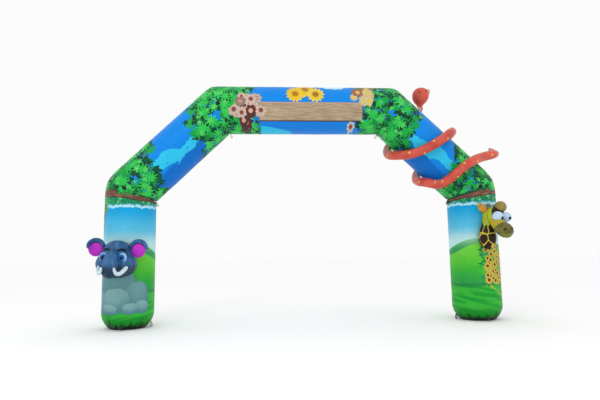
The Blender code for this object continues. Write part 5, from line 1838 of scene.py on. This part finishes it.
CAMERA_PLACE = Vector((-0.815, -9.828, 1.349))
CAMERA_YAW = 0.0714
CAMERA_PITCH = 0.12
CAMERA_ROLL = -0.0153
FOCAL_PIXELS = 470.64
IMAGE_WIDTH = 600
SENSOR_WIDTH = 36.0


def add_camera():
    ahead = Vector((math.sin(CAMERA_YAW) * math.cos(CAMERA_PITCH),
                    math.cos(CAMERA_YAW) * math.cos(CAMERA_PITCH), math.sin(CAMERA_PITCH)))
    level = Vector((math.cos(CAMERA_YAW), -math.sin(CAMERA_YAW), 0))
    above = level.cross(ahead)
    right = level * math.cos(CAMERA_ROLL) + above * math.sin(CAMERA_ROLL)
    up = above * math.cos(CAMERA_ROLL) - level * math.sin(CAMERA_ROLL)
    data = bpy.data.cameras.new("camera")
    data.sensor_width = SENSOR_WIDTH
    data.lens = FOCAL_PIXELS * SENSOR_WIDTH / IMAGE_WIDTH
    data.clip_end = 400
    camera = placed("camera", data)
    turn = Matrix((right, up, -ahead)).transposed().to_4x4()
    camera.matrix_world = Matrix.Translation(CAMERA_PLACE + MIDDLE) @ turn
    bpy.context.scene.camera = camera


def add_floor():
    mesh = bpy.data.meshes.new("floor")
    size = 150.0
    mesh.from_pydata([(-size, -size, 0), (size, -size, 0), (size, size, 0), (-size, size, 0)], [],
                     [(0, 1, 2, 3)])
    floor = placed("floor", mesh)
    material = bpy.data.materials.new("pale floor")
    material.use_nodes = True
    shader = material.node_tree.nodes["Principled BSDF"]
    shader.inputs["Base Color"].default_value = (0.985, 0.985, 0.985, 1)
    shader.inputs["Roughness"].default_value = 0.9
    shader.inputs["Specular IOR Level"].default_value = 0.1
    mesh.materials.append(material)


LIGHTS = (                     # name, place, aim, size, watts
    ("key", (-5.0, -11.0, 10.0), (0.0, 0.0, 2.2), 6.0, 300.0),
    ("fill", (9.0, -9.0, 4.0), (0.0, 0.0, 2.0), 8.0, 70.0))
WORLD_LIGHT = 0.97


def add_lights():
    for name, place, aim, size, watts in LIGHTS:
        data = bpy.data.lights.new(name, "AREA")
        data.energy = watts
        data.size = size
        light = placed(name, data)
        light.location = Vector(place) + MIDDLE
        light.rotation_euler = (Vector(aim) - Vector(place)).to_track_quat("-Z", "Y").to_euler()
    world = bpy.data.worlds.new("soft sky")
    world.use_nodes = True
    backdrop = world.node_tree.nodes["Background"]
    backdrop.inputs["Color"].default_value = (1.0, 1.0, 1.0, 1)
    backdrop.inputs["Strength"].default_value = WORLD_LIGHT
    bpy.context.scene.world = world
    bpy.context.scene.view_settings.view_transform = "Standard"


add_camera()
add_floor()
add_lights()
CLOTH = make_cloth()
add_arch(CLOTH)
add_patches_and_loops(CLOTH)
add_elephant(CLOTH)
add_giraffe(CLOTH)
add_snake(CLOTH)
